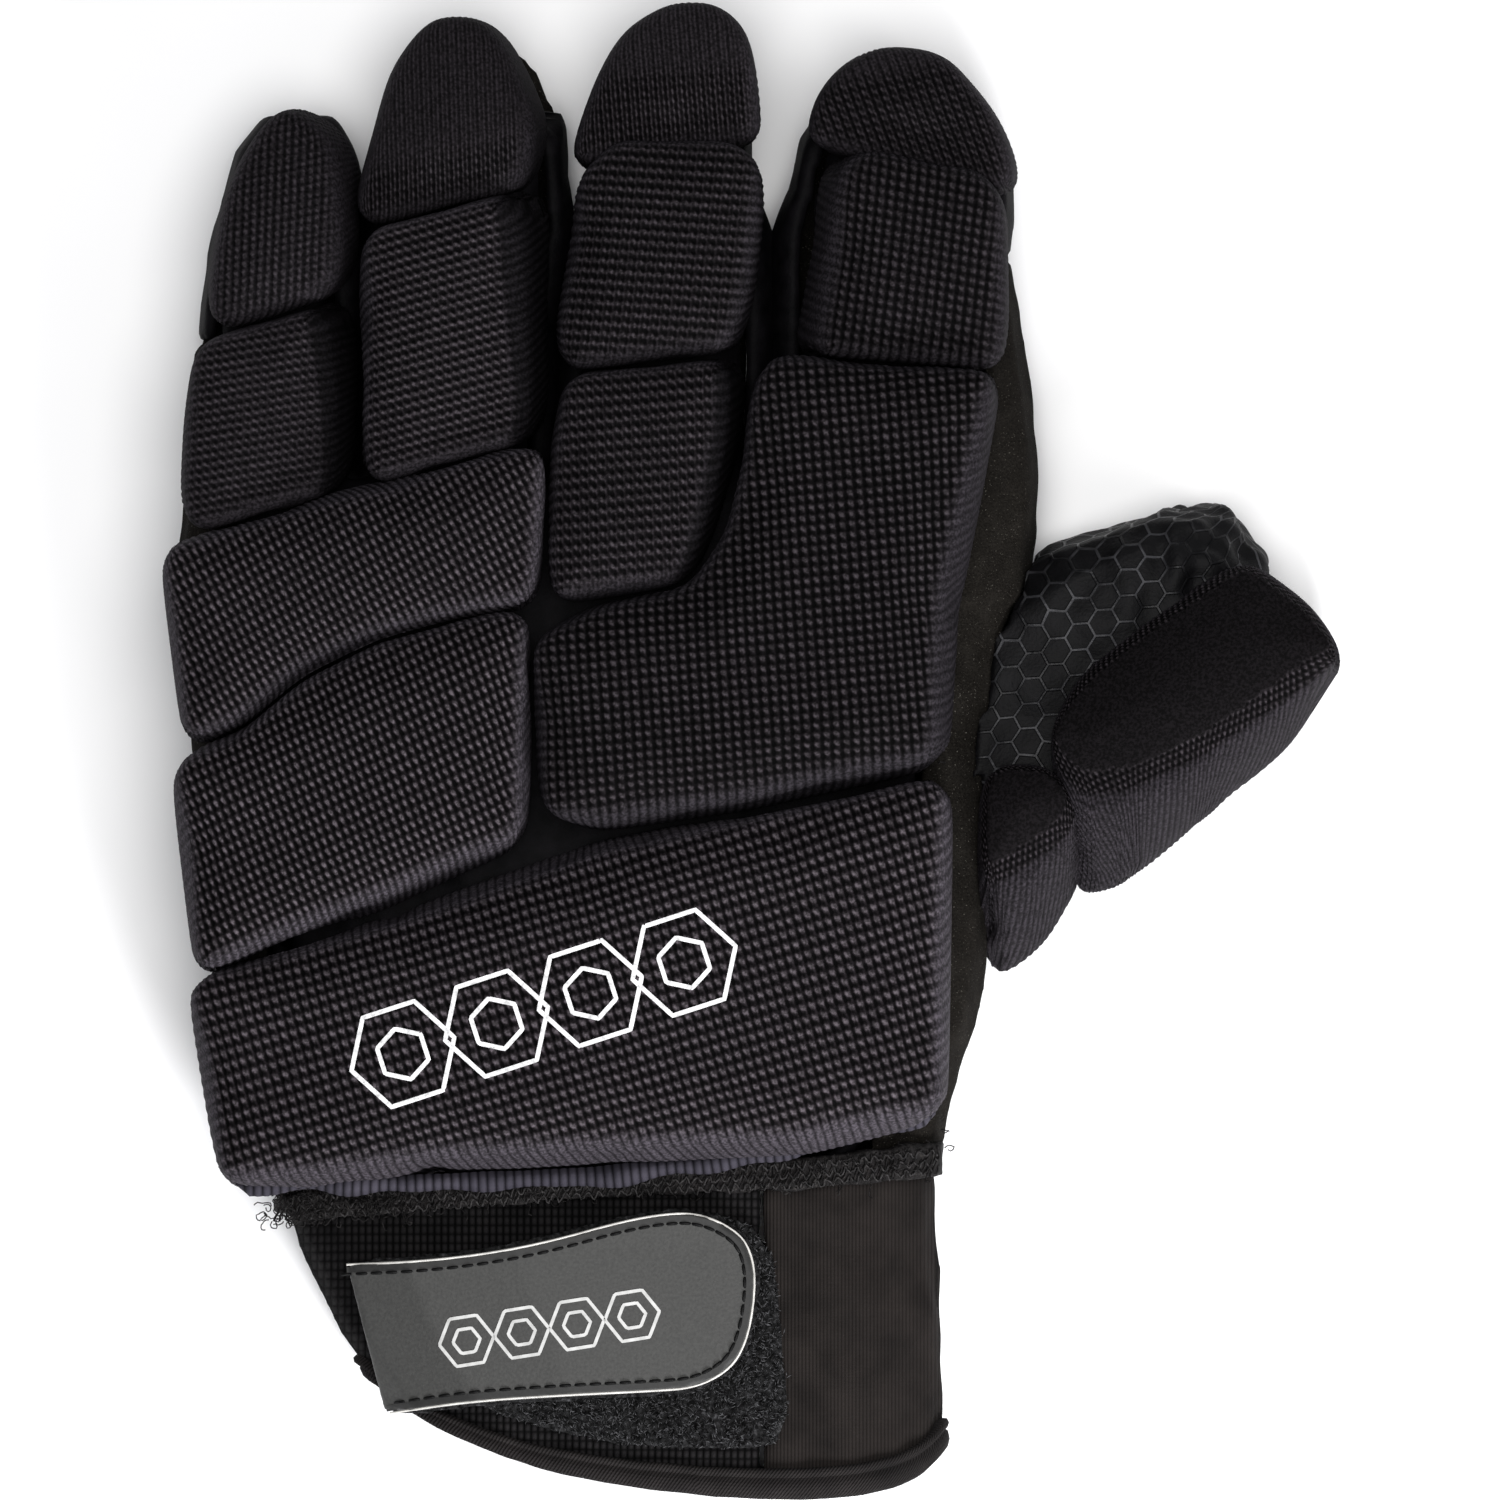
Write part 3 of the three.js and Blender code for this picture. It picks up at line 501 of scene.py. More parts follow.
def lies_inside(points, loop):
    """Whether each point lies inside a closed outline."""
    inside = np.zeros(len(points), bool)
    for a, b in zip(loop, np.roll(loop, -1, 0)):
        crosses = (a[1] > points[:, 1]) != (b[1] > points[:, 1])
        if crosses.any():
            at = a[0] + (points[:, 1] - a[1]) * (b[0] - a[0]) / (b[1] - a[1] + 1e-12)
            inside ^= crosses & (points[:, 0] < at)
    return inside


def pad_spine(pad):
    """Middle line of the foam, each row with its place, the direction across and the crown's height."""
    rows = np.array(pad["sections"], float)
    left, right = rows[:, 0:2], rows[:, 2:4]
    aside = np.array(pad["lean_to"], float)
    aside *= -pad["lean"] / 2 / np.linalg.norm(aside)
    table = np.hstack([(left + right) / 2 + aside, right - left, rows[:, 4:5]])
    steps = np.linspace(0, len(rows) - 1, 24 * (len(rows) - 1) + 1)
    spine = np.stack([np.interp(steps, range(len(rows)), table[:, k]) for k in range(5)], 1)
    spine[:, 2:4] /= np.linalg.norm(spine[:, 2:4], axis=1)[:, None]
    widths = 0.3 * np.linalg.norm(right - left, axis=1)
    kept = spine[(np.linalg.norm(spine[:, :2] - spine[0, :2], axis=1) >= widths[0])
                 & (np.linalg.norm(spine[:, :2] - spine[-1, :2], axis=1) >= widths[-1])]
    return kept if len(kept) else spine[len(spine) // 2][None]


def crown_height(points, spine, tilt):
    """Height of the foam's top above points in plan."""
    total, weight_sum = np.zeros(len(points)), np.zeros(len(points))
    for row in spine[::6]:
        off = points - row[:2]
        weight = 1 / ((off ** 2).sum(1) + 9.0) ** 2
        total += weight * (row[4] + tilt * (off @ row[2:4]))
        weight_sum += weight
    return total / weight_sum


def nearest_on(points, loop):
    """Where along a closed outline each point is nearest to it, and how far away."""
    spot, gap = np.zeros(len(points)), np.zeros(len(points))
    following = np.roll(loop, -1, 0) - loop
    length2 = (following ** 2).sum(1)
    for start in range(0, len(points), 6000):
        part = points[start:start + 6000]
        near = ((loop ** 2).sum(1)[None] - 2 * part @ loop.T).argmin(1)
        best, where = np.full(len(part), 1e9), np.zeros(len(part))
        for shift in (-1, 0):
            i = (near + shift) % len(loop)
            share = (((part - loop[i]) * following[i]).sum(1) / length2[i]).clip(0, 1)
            away = np.linalg.norm(part - loop[i] - share[:, None] * following[i], axis=1)
            closer = away < best
            best[closer], where[closer] = away[closer], (i + share)[closer]
        spot[start:start + 6000], gap[start:start + 6000] = where, best
    return spot, gap


def outward_of(loop, rounds=0):
    """The way out of a closed outline at each of its points."""
    along = even_out(np.roll(loop, -1, 0) - np.roll(loop, 1, 0), rounds)
    return np.column_stack([along[:, 1], -along[:, 0]]) / np.linalg.norm(along, axis=1)[:, None]


def grown(loop, by):
    """The outline moved outward all round."""
    return loop + by * outward_of(loop, 2)


SOFT_CORNER, FIRM_CORNER, STEEP_LEAN = 0.62, 0.45, 5
pad_edges = {}
for name, pad in PADS.items():
    roundness = pad["corner"] * (SOFT_CORNER if "tip" in name or pad["lean"] > STEEP_LEAN else FIRM_CORNER)
    pad_edges[name] = grown(even_out(cut_outline(pad["sections"], roundness, 0.8), 2), PLUMP)


def foam_rings(pad, edge, spine, tilt):
    """Closed rings round the foam, from its shoulder down to the foot."""
    if "crown" in pad:
        shoulder = even_out(cut_outline(pad["crown"], 2.5, 0.7), 3)
        foot = grown(even_out(cut_outline(pad["crown"], 2.5, 0.7, pad["sections"]), 14), 0.6)
        width = np.linalg.norm(foot - shoulder, axis=1).clip(0.2)
        steps = ((0 * width, "down", 0.3), (np.minimum(0.7, 0.3 * width), "down", 0.5),
                 (np.minimum(1.5, 0.4 * width) + 0.08 * width, "down", 1.7),
                 (np.minimum(2.0, 0.5 * width) + 0.3 * width, "down", 4.2), (width, "up", 3.0),
                 (np.maximum(width - 1.6, 0), "up", 0.0))
        plans = [(shoulder + (foot - shoulder) * (out / width)[:, None], sense, amount)
                 for out, sense, amount in steps]
    else:
        lean_to = np.array(pad["lean_to"], float) / np.linalg.norm(pad["lean_to"])
        outward = outward_of(edge, 6)
        aside = edge @ lean_to
        shift = pad["lean"] * ((aside - aside.min()) / np.ptp(aside))[:, None] ** 2.5 * lean_to
        plans = [(even_out(edge - inset * outward - leaning * shift, 3), sense, amount)
                 for inset, leaning, sense, amount in SHOULDER]
    rings = []
    for plan, sense, amount in plans:
        height = crown_height(plan, spine, tilt) - amount if sense == "down" else pad["base"] + amount
        rings.append(np.column_stack([plan, np.broadcast_to(height, len(plan))]))
    return np.stack(rings, 1)


def wrap_pad(name, pad):
    """The knit as a grid of cells, laid over the foam's top and wrapped down its sides."""
    edge, spine, tilt = pad_edges[name], pad_spine(pad), pad.get("tilt", 0.0)
    profile = foam_rings(pad, edge, spine, tilt)
    count = len(profile)
    for _ in range(3):
        before, after = profile[:, :-1], profile[:, 1:]
        mixed = np.stack([0.75 * before + 0.25 * after, 0.25 * before + 0.75 * after], 2)
        profile = np.concatenate([profile[:, :1], mixed.reshape(count, -1, 3), profile[:, -1:]], 1)
    lengths = np.linalg.norm(np.diff(profile, axis=1), axis=2)
    run = np.concatenate([np.zeros((count, 1)), np.cumsum(lengths, 1)], 1)
    shoulder = profile[:, 0, :2]
    outward = outward_of(shoulder)
    neighbours = np.zeros(count, bool)
    for other, loop in pad_edges.items():
        if other != name:
            neighbours |= lies_inside(profile[:, -1, :2] + 4.0 * outward, loop)
    lean_to = np.array(pad["lean_to"], float) / np.linalg.norm(pad["lean_to"])
    leaning = (outward @ lean_to > 0.25) & (pad["lean"] > 1.8)
    seen = ~neighbours | leaning
    for _ in range(8):
        seen = seen | np.roll(seen, 1) | np.roll(seen, -1)
    depth = np.where(seen, run[:, -1], np.minimum(run[:, -1], HIDDEN_SKIRT))
    depth = np.minimum(even_out(depth, 40), run[:, -1])
    # Painted shade on the side faces that the crown leans back from, where the neighbouring finger casts its
    # shadow
    painted_side_shade_at = even_out(np.where(leaning, pad.get("shaded", 0.0), 0.0), 4)
    table_size = int(run[:, -1].max() / SKIRT_STEP) + 3
    skirt = np.empty((count, table_size, 3))
    for i in range(count):
        at = np.minimum(np.arange(table_size) * SKIRT_STEP, min(depth[i], run[i, -1]))
        for k in range(3):
            skirt[i, :, k] = np.interp(at, run[i], profile[i, :, k])
    ways, pitch = np.radians(pad["knit"][:2]), np.array(pad["knit"][2:])
    axes = np.column_stack([np.cos(ways), np.sin(ways)])
    one_cell = np.linalg.inv(axes / pitch[:, None]).T
    centre = shoulder.mean(0)
    spread = ((shoulder - centre) @ axes.T) / pitch
    steps = pad.get("steps", CELL_STEPS)
    low = np.floor((spread.min(0) - depth.max() / pitch - 1) * steps).astype(int)
    high = np.ceil((spread.max(0) + depth.max() / pitch + 1) * steps).astype(int)
    columns, lines = np.arange(low[0], high[0] + 1), np.arange(low[1], high[1] + 1)
    cells = np.stack(np.meshgrid(columns, lines, indexing="ij"), 2).reshape(-1, 2) / steps
    plan = centre + cells @ one_cell
    spot, gap = nearest_on(plan, shoulder)
    i0 = spot.astype(int) % count
    share = (spot - np.floor(spot))[:, None]
    i1 = (i0 + 1) % count
    foot = shoulder[i0] * (1 - share) + shoulder[i1] * share
    normal = outward[i0] * (1 - share) + outward[i1] * share
    outside = ~lies_inside(plan, shoulder)
    reach = depth[i0] * (1 - share[:, 0]) + depth[i1] * share[:, 0]
    beyond = outside & (gap > reach)
    k = np.minimum(gap, reach) / SKIRT_STEP
    k0 = np.minimum(k.astype(int), table_size - 2)
    down = (k - k0)[:, None]
    side = ((skirt[i0, k0] * (1 - down) + skirt[i0, k0 + 1] * down) * (1 - share)
            + (skirt[i1, k0] * (1 - down) + skirt[i1, k0 + 1] * down) * share)
    top = np.column_stack([plan, crown_height(plan, spine, tilt) + EDGE_DROP - 0.3
                           - EDGE_DROP * (1 - (gap / 9.0).clip(0, 1)) ** 2])
    points = np.where(outside[:, None], side, top)
    gap = np.where(outside, gap, -gap)
    # The knit stretches over the edges: cells lengthen outward, so the lines along the edge fade
    facing = (normal @ axes.T) ** 2 / (normal ** 2).sum(1)[:, None]
    toward_cuff = (1.3 * (normal @ (0.5, -0.85)) / np.linalg.norm(normal, axis=1)).clip(0, 1)
    taut = ((gap - 0.4 + 1.7 * toward_cuff) / 2.6).clip(0, 1)
    pulled = taut[:, None] * facing
    if "ribs_past" in pad:
        x, y, past = pad["ribs_past"]
        pulled[:, 1] = np.maximum(pulled[:, 1], (((plan - (x, y)) @ axes[1] - past) / 3.0).clip(0, 1))
    if "crown" in pad:
        taut = ((gap - THUMB_WAFFLE) / 1.0).clip(0, 1)
        pulled = np.column_stack([0 * taut, taut])
        pulled[gap < 0.3] = 1.0
    # The painted shade fades in from the shoulder down the leaning side
    painted_side_shade = (painted_side_shade_at[i0] * ((gap + 0.2) / 1.2).clip(0, 1)).clip(0, 1)
    return dict(points=points, cells=cells, gap=gap, beyond=beyond, pulled=pulled, taut=taut, painted_side_shade=painted_side_shade,
                shape=(len(columns), len(lines)), reach=reach)


def keep_vector(piece, name, values):
    """Stores a vector for each point of a piece, for its material."""
    store = piece.data.attributes.new(name, "FLOAT_VECTOR", "POINT")
    store.data.foreach_set("vector", np.asarray(values, float).ravel())


def grid_faces(shape, keep):
    """Quads of a grid where any corner is kept."""
    index = np.arange(shape[0] * shape[1]).reshape(shape)
    quads = np.stack([index[:-1, :-1], index[1:, :-1], index[1:, 1:], index[:-1, 1:]], 2).reshape(-1, 4)
    return quads[keep[quads].any(1)]


wraps = {name: wrap_pad(name, pad) for name, pad in PADS.items()}

COARSE = 6
PUFF_CAP = 0.9
PUFF_FRAMES = 20
SEWN_BAND = 2.5
TRIAL_FACE = (0.3, 8.0)
CLOTH = dict(quality=4, mass=0.15, tension_stiffness=12.0, compression_stiffness=12.0, bending_stiffness=0.4,
             shrink_min=-0.02, use_pressure=True, uniform_pressure_force=150.0, vertex_group_mass="sewn")


def puff_covers():
    """Sews down every cover's foot, blows the covers up a little as cloth, and returns each point's move."""
    points, faces, sewn, spans, start = [], [], [], {}, 0
    for name, wrap in wraps.items():
        shape = wrap["shape"]
        index = np.arange(shape[0] * shape[1]).reshape(shape)[::COARSE, ::COARSE]
        flat = index.ravel()
        quads = grid_faces(index.shape, ~wrap["beyond"][flat])
        corners = wrap["points"][flat][quads]
        sides = np.linalg.norm(corners - np.roll(corners, 1, 1), axis=2)
        quads = quads[(sides.max(1) < TRIAL_FACE[1]) & (sides.min(1) > TRIAL_FACE[0])]
        points.append(wrap["points"][flat])
        faces.append(quads + start)
        sewn.append(wrap["gap"][flat] > wrap["reach"][flat] - SEWN_BAND)
        spans[name] = (start, index.shape)
        start += len(flat)
    points, faces, sewn = np.vstack(points), np.vstack(faces), np.concatenate(sewn)
    cover = link_new("cover_trial", points, faces)
    group = cover.vertex_groups.new(name="sewn")
    group.add(np.flatnonzero(sewn).tolist(), 1.0, "REPLACE")
    cloth = cover.modifiers.new("cloth", "CLOTH")
    for key, value in CLOTH.items():
        setattr(cloth.settings, key, value)
    cloth.settings.effector_weights.gravity = 0.0
    cloth.point_cache.frame_start = 1
    cloth.point_cache.frame_end = PUFF_FRAMES
    for number in range(1, PUFF_FRAMES + 1):
        scene.frame_set(number)
    shown = cover.evaluated_get(bpy.context.evaluated_depsgraph_get())
    flat = np.empty(len(points) * 3)
    shown.data.vertices.foreach_get("co", flat)
    moved = flat.reshape(-1, 3) / MM - points
    bpy.data.objects.remove(cover)
    scene.frame_set(1)
    moved[sewn] = 0.0
    far = np.linalg.norm(moved, axis=1)
    moved *= (PUFF_CAP * np.tanh(far / PUFF_CAP) / np.maximum(far, 1e-6))[:, None]
    return {name: moved[begin:begin + shape[0] * shape[1]].reshape(*shape, 3)
            for name, (begin, shape) in spans.items()}


def spread_out(coarse, shape):
    """The coarse grid's values on the fine one, evened out."""
    for axis in (0, 1):
        at = np.minimum(np.arange(shape[axis]) / COARSE, coarse.shape[axis] - 1)
        first = at.astype(int)
        second = np.minimum(first + 1, coarse.shape[axis] - 1)
        share = (at - first).reshape((-1, 1, 1) if axis == 0 else (1, -1, 1))
        coarse = np.take(coarse, first, axis) * (1 - share) + np.take(coarse, second, axis) * share
    for _ in range(10):
        for axis in (0, 1):
            coarse = (np.roll(coarse, 1, axis) + 2 * coarse + np.roll(coarse, -1, axis)) / 4
    return coarse


puffed = puff_covers()

knit = Stuff("pad_knit", (0.03, 0.028, 0.033), 0.8)
cell_place = knit.node("ShaderNodeUVMap", {"uv_map": "cells"}).outputs["UV"]
across_cell, along_cell, _ = knit.split(cell_place)
pulled_across, pulled_along, taut_share = knit.split(knit.attribute("pulled"))
rib_share, row_share, slant_share = knit.split(knit.attribute("wave_shares"))
slip_turns, half_share, evenness_share = knit.split(knit.attribute("weave"))


def loop_wave(turns, pull):
    """One wave of the loops, flattened to a high level where the knit is pulled."""
    wave = knit.sum("COSINE", knit.sum("MULTIPLY", turns, 2 * math.pi))
    return knit.sum("ADD", wave, knit.sum("MULTIPLY", knit.sum("SUBTRACT", PULLED_LEVEL, wave), pull))


slant_turns = knit.sum("ADD", knit.sum("ADD", across_cell, along_cell), slip_turns)
waves = (
    (rib_share, loop_wave(across_cell, pulled_across)),
    (row_share, loop_wave(along_cell, pulled_along)),
    (slant_share, loop_wave(slant_turns, knit.sum("MAXIMUM", pulled_across, pulled_along))),
    (half_share, loop_wave(knit.sum("MULTIPLY_ADD", across_cell, 2.0, 0.5), pulled_across)))
loop_height = 0.5
for wave_share, wave in waves:
    loop_height = knit.sum("MULTIPLY_ADD", wave, knit.sum("MULTIPLY", wave_share, 0.5), loop_height)
# Yarn colour along the loop height: partly the black yarn's own colour, partly painted shade deep in the
# valleys between the loops and painted light on the loop tops. The flatter ramps below narrow that range
# where the knit is pulled taut or evenly coloured.
yarn = knit.ramp(loop_height, [(0.3, (0.0006, 0.0005, 0.0006)), (0.55, (0.0105, 0.0088, 0.0098)),
                               (0.86, (0.064, 0.0565, 0.0610))])
smooth_yarn = knit.ramp(loop_height, [(0.3, (0.002, 0.0018, 0.0021)), (0.85, (0.046, 0.0415, 0.0475))])
even_yarn = knit.ramp(loop_height, [(0.15, (0.0075, 0.0066, 0.0075)), (0.85, (0.03, 0.0265, 0.0300))])
knit_colour_with_painted_shade = knit.blend(evenness_share, knit.blend(taut_share, yarn, smooth_yarn), even_yarn)
lint = knit.ramp(knit.grain(0.5, 2.0), [(0.4, 0.5), (0.62, (1.4, 1.36, 1.42))])
# Per-point tone of each pad: its own colour, with painted light and painted shade
tone = knit.node("ShaderNodeAttribute", {"attribute_name": "tone"}).outputs["Color"]
knit.colour(knit.blend(1.0, knit.blend(1.0, knit_colour_with_painted_shade, lint, "MULTIPLY"), tone, "MULTIPLY"))
knit.surface(knit.relief(loop_height, 0.3, knit.relief(knit.grain(0.25, 2.0), 0.05)))
# Each pad's tone is partly the knit's own colour and partly painted light: the pads near the cuff, where the
# light falls strongest, are lighter, and the fingers darker.
PAD_TONES_WITH_PAINTED_LIGHT = {"little_tip_pad": 0.6, "little_middle_pad": 0.66, "ring_tip_pad": 0.47, "ring_long_pad": 0.78,
             "middle_tip_pad": 0.55, "middle_middle_pad": 0.52, "middle_lower_pad": 0.6, "index_tip_pad": 0.5,
             "index_middle_pad": 0.48, "index_hand_pad": 0.5, "upper_knuckle_pad": 0.96,
             "lower_knuckle_pad": 1.0, "back_hand_pad": 1.0, "thumb_base_pad": 0.5, "thumb_tip_pad": 0.5}
SMOOTH_TOP_TONE = 0.09
LONGEST_FACE, LONGEST_THUMB_FACE = 3.0, 14.0

for name, pad in PADS.items():
    wrap = wraps[name]
    shape = wrap["shape"]
    points = wrap["points"]
    if name in puffed:
        points = points + spread_out(puffed[name], shape).reshape(-1, 3)
    grid = points.reshape(*shape, 3)
    run_across = np.gradient(grid, axis=0)
    run_along = np.gradient(grid, axis=1)
    normal = np.cross(run_across, run_along).reshape(-1, 3)
    size = np.linalg.norm(normal, axis=1)
    normal /= np.maximum(size, 1e-9)[:, None]
    cell = wrap["cells"]
    rib, row, slant, half = pad["loops"]
    phases = np.column_stack([cell, cell.sum(1) + pad["slip"] / 360])
    pull = np.column_stack([wrap["pulled"], wrap["pulled"].max(1)])
    waves = np.cos(2 * math.pi * phases)
    waves += (PULLED_LEVEL - waves) * pull
    loops = 0.5 + 0.5 * waves @ (rib, row, slant) / (rib + row + slant)
    points = points + normal * (CELL_DEPTH * (loops - 0.8) * (size > 1e-6) * ~wrap["beyond"])[:, None]
    faces = grid_faces(shape, ~wrap["beyond"])
    corners = points[faces]
    longest = np.linalg.norm(corners - np.roll(corners, 1, 1), axis=2).max(1)
    faces = faces[longest < (LONGEST_THUMB_FACE if "crown" in pad else LONGEST_FACE)]
    used, packed = np.unique(faces, return_inverse=True)
    faces = packed.reshape(-1, 4)
    cover = link_new(name.replace("_pad", "_cover"), points[used], faces)
    cells_map = cover.data.uv_layers.new(name="cells")
    cells_map.data.foreach_set("uv", cell[used][faces.ravel()].ravel())
    keep_vector(cover, "pulled", np.column_stack([wrap["pulled"], wrap["taut"]])[used])
    keep_vector(cover, "wave_shares", np.tile((rib, row, slant), len(used)))
    evenness = np.full(len(used), pad["even"])
    if "ribs_past" in pad:
        evenness *= 0.3 + 0.7 * wrap["pulled"][used, 1]
    keep_vector(cover, "weave", np.column_stack(
        [np.full(len(used), pad["slip"] / 360), np.full(len(used), half), evenness]))
    # Each pad's tone with its painted light, darkened by painted shade down its leaning sides
    shade = PAD_TONES_WITH_PAINTED_LIGHT[name] * (1 - 0.75 * wrap["painted_side_shade"][used])
    if "crown" in pad:
        shade = np.where(wrap["gap"][used] < 0.3, SMOOTH_TOP_TONE, shade)
    tone_with_painted_light = cover.data.color_attributes.new("tone", "FLOAT_COLOR", "POINT")
    tone_with_painted_light.data.foreach_set("color", np.column_stack([shade, shade, shade, np.ones(len(shade))]).ravel())
    fit(cover, knit, "pad_knit", name)

# Thumb stall: thin soft leather with a printed grip of raised grey hexagon lines, sewn into a tube
# and set into the suede side wall. The print follows the leather round the thumb.
THUMB_AT = np.array([48.0, 8.4])
THUMB_TURN = math.radians(-49.9)
HEX_SIZE = 4.6

leather = Stuff("grip_leather", (0.005, 0.005, 0.006), 0.5, shine=0.12)


def honeycomb(stuff, where, size):
    """How near each spot is to a hexagon's edge: 0 in the middle, 1 on the edge."""
    step = (math.sqrt(3), 1.0, 1.0)
    scaled = stuff.vector("SCALE", where)[0]
    scaled.node.inputs["Scale"].default_value = 1.0 / size
    nearest = []
    for shift in (0.0, 0.5):
        moved = stuff.vector("ADD", scaled, (100 * step[0] + shift * step[0], 100 + shift, 0.0))[0]
        centred = stuff.vector("SUBTRACT", stuff.vector("MODULO", moved, step)[0], (step[0] / 2, 0.5, 0.0))[0]
        nearest.append((centred, stuff.vector("LENGTH", centred)["Value"]))
    chosen = stuff.node("ShaderNodeMix", {"data_type": "VECTOR"})
    stuff.feed(chosen.inputs["Factor"], stuff.sum("LESS_THAN", nearest[1][1], nearest[0][1]))
    ends = [s for s in chosen.inputs if s.type == "VECTOR" and s.name in "AB"]
    stuff.feed(ends[0], nearest[0][0])
    stuff.feed(ends[1], nearest[1][0])
    positive = stuff.vector("ABSOLUTE", [s for s in chosen.outputs if s.type == "VECTOR"][0])[0]
    slant = stuff.vector("DOT_PRODUCT", positive, (math.sqrt(3) / 2, 0.5, 0.0))["Value"]
    return stuff.sum("MULTIPLY", stuff.sum("MAXIMUM", slant, stuff.split(positive)["Y"]), 2.0)


comb = honeycomb(leather, leather.attribute("wrapped"), HEX_SIZE)
print_line = leather.ramp(comb, [(0.86, 0), (0.93, 1)])
print_wear = leather.ramp(leather.grain(7.0, 3.0), [(0.42, 0.07), (0.68, 1)])
print_share = leather.blend(1.0, print_line, print_wear, "MULTIPLY")
leather_tone = leather.ramp(leather.grain(2.5, 4.0), [(0.3, (0.0007, 0.0007, 0.0009)),
                                                      (0.7, (0.0026, 0.0024, 0.003))])
leather.colour(leather.blend(print_share, leather_tone, (0.046, 0.046, 0.05)))
leather.gloss(leather.ramp(print_line, [(0.0, 0.6), (1.0, 0.33)]))
leather.surface(leather.relief(print_line, 0.3, leather.relief(leather.grain(0.6, 3.0), 0.12)))

stall = fabric_copy("thumb_stall", "leather_thumb", 0.9, 6)
pucker(stall, 11.0, 0.5, 11)
pucker(stall, 4.5, 0.15, 12)
stall_points = points_of(stall)
near_end = ((stall_points[:, 0] - 56) / 18).clip(0, 1)[:, None]
stall_points += normals_of(stall) * near_end * (0.8 * ripple(stall_points, 4.5, 14))[:, None]
stall_points[:, 2] = stall_points[:, 2].clip(0)
set_points(stall, stall_points)
turn_cos, turn_sin = math.cos(THUMB_TURN), math.sin(THUMB_TURN)
back_turn = np.array([[turn_cos, -turn_sin], [turn_sin, turn_cos]])
thumb_plan = (stall_points[:, :2] - THUMB_AT) @ back_turn
round_angle = np.arctan2(stall_points[:, 2] - 9.5, thumb_plan[:, 0] + 2.0) - math.pi / 2
round_angle = np.where(round_angle < -math.pi, round_angle + 2 * math.pi, round_angle)
unrolled = np.column_stack([-15.0 * round_angle, thumb_plan[:, 1]]) @ back_turn.T
keep_vector(stall, "wrapped", np.column_stack([unrolled, np.zeros(len(unrolled))]))
fit(stall, leather, "grip_leather", "thumb_stall")

# Cuff: a fine rib knit on the thumb side and a coarser mesh knit on the little-finger side, sewn to
# the hand with an overlocked lip and bound with folded tape round the lower edge.
def rib_stuff(name, dark, light, pitch, depth, rows=0.3):
    stuff = Stuff(name, light, 0.85)
    around, along, _ = stuff.split(stuff.attribute("wrapped"))
    wale, row = (stuff.sum("ABSOLUTE", stuff.sum("SINE", stuff.sum("MULTIPLY", way, math.pi / size)))
                 for way, size in ((around, pitch), (along, 1.3 * pitch)))
    loops = stuff.sum("MULTIPLY", wale, stuff.sum("ADD", 1 - rows, stuff.sum("MULTIPLY", row, rows)))
    tone = stuff.ramp(loops, [(0.1, dark), (0.8, light)])
    cloud = stuff.ramp(stuff.grain(6.0, 3.0), [(0.3, 0.75), (0.7, (1.25, 1.22, 1.2))])
    stuff.colour(stuff.blend(1.0, tone, cloud, "MULTIPLY"))
    stuff.surface(stuff.relief(loops, depth, stuff.relief(stuff.grain(0.3, 2.0), 0.06)))
    return stuff


def wrap_cuff(piece):
    """Keeps how far round the wrist and how far along it each point lies."""
    points = points_of(piece)
    angle = np.arctan2(points[:, 2] - 12.0, (points[:, 0] + 20.0) / 3.2) - math.pi / 2
    around = np.where(points[:, 2] > 12.0, points[:, 0], points[:, 0] * 0.7 + angle * 8)
    keep_vector(piece, "wrapped", np.column_stack([around, points[:, 1], points[:, 2]]))


rib_knit = rib_stuff("cuff_rib", (0.0075, 0.0064, 0.0058), (0.0130, 0.0112, 0.0106), 0.6, 0.12, 0.1)
mesh_knit = rib_stuff("cuff_mesh", (0.0008, 0.0008, 0.0008), (0.010, 0.0095, 0.010), 1.15, 0.3, 0.75)
tape = rib_stuff("binding_tape", (0.004, 0.0036, 0.0035), (0.017, 0.0155, 0.0155), 0.6, 0.12)
thread = grained("overlock_thread", (0.01, 0.009, 0.01), 0.75, 0.8, [
    (0.3, (0.0015, 0.0013, 0.0013)), (0.6, (0.010, 0.009, 0.009)), (0.8, (0.035, 0.032, 0.03))], 0.1, 3.0)
thread.surface(thread.relief(thread.grain(0.3, 3.0), 0.2))

for node, name, stuff, slot in (("cuff_rib_panel", "cuff_rib_knit", rib_knit, "cuff_rib"),
                                ("cuff_mesh_panel", "cuff_mesh_knit", mesh_knit, "cuff_mesh")):
    band = fabric_copy(node, name, 1.2, 5)
    pucker(band, 9.0, 0.25, 21)
    band_points = points_of(band)
    # Its top edge is tucked under the lip on the thumb side
    under_lip = ((band_points[:, 1] + 75) / 3).clip(0, 1) * ((band_points[:, 0] - 10) / 8).clip(0, 1)
    band_points[:, 1] += 2.0 * under_lip
    set_points(band, band_points)
    wrap_cuff(band)
    fit(band, stuff, slot, node)

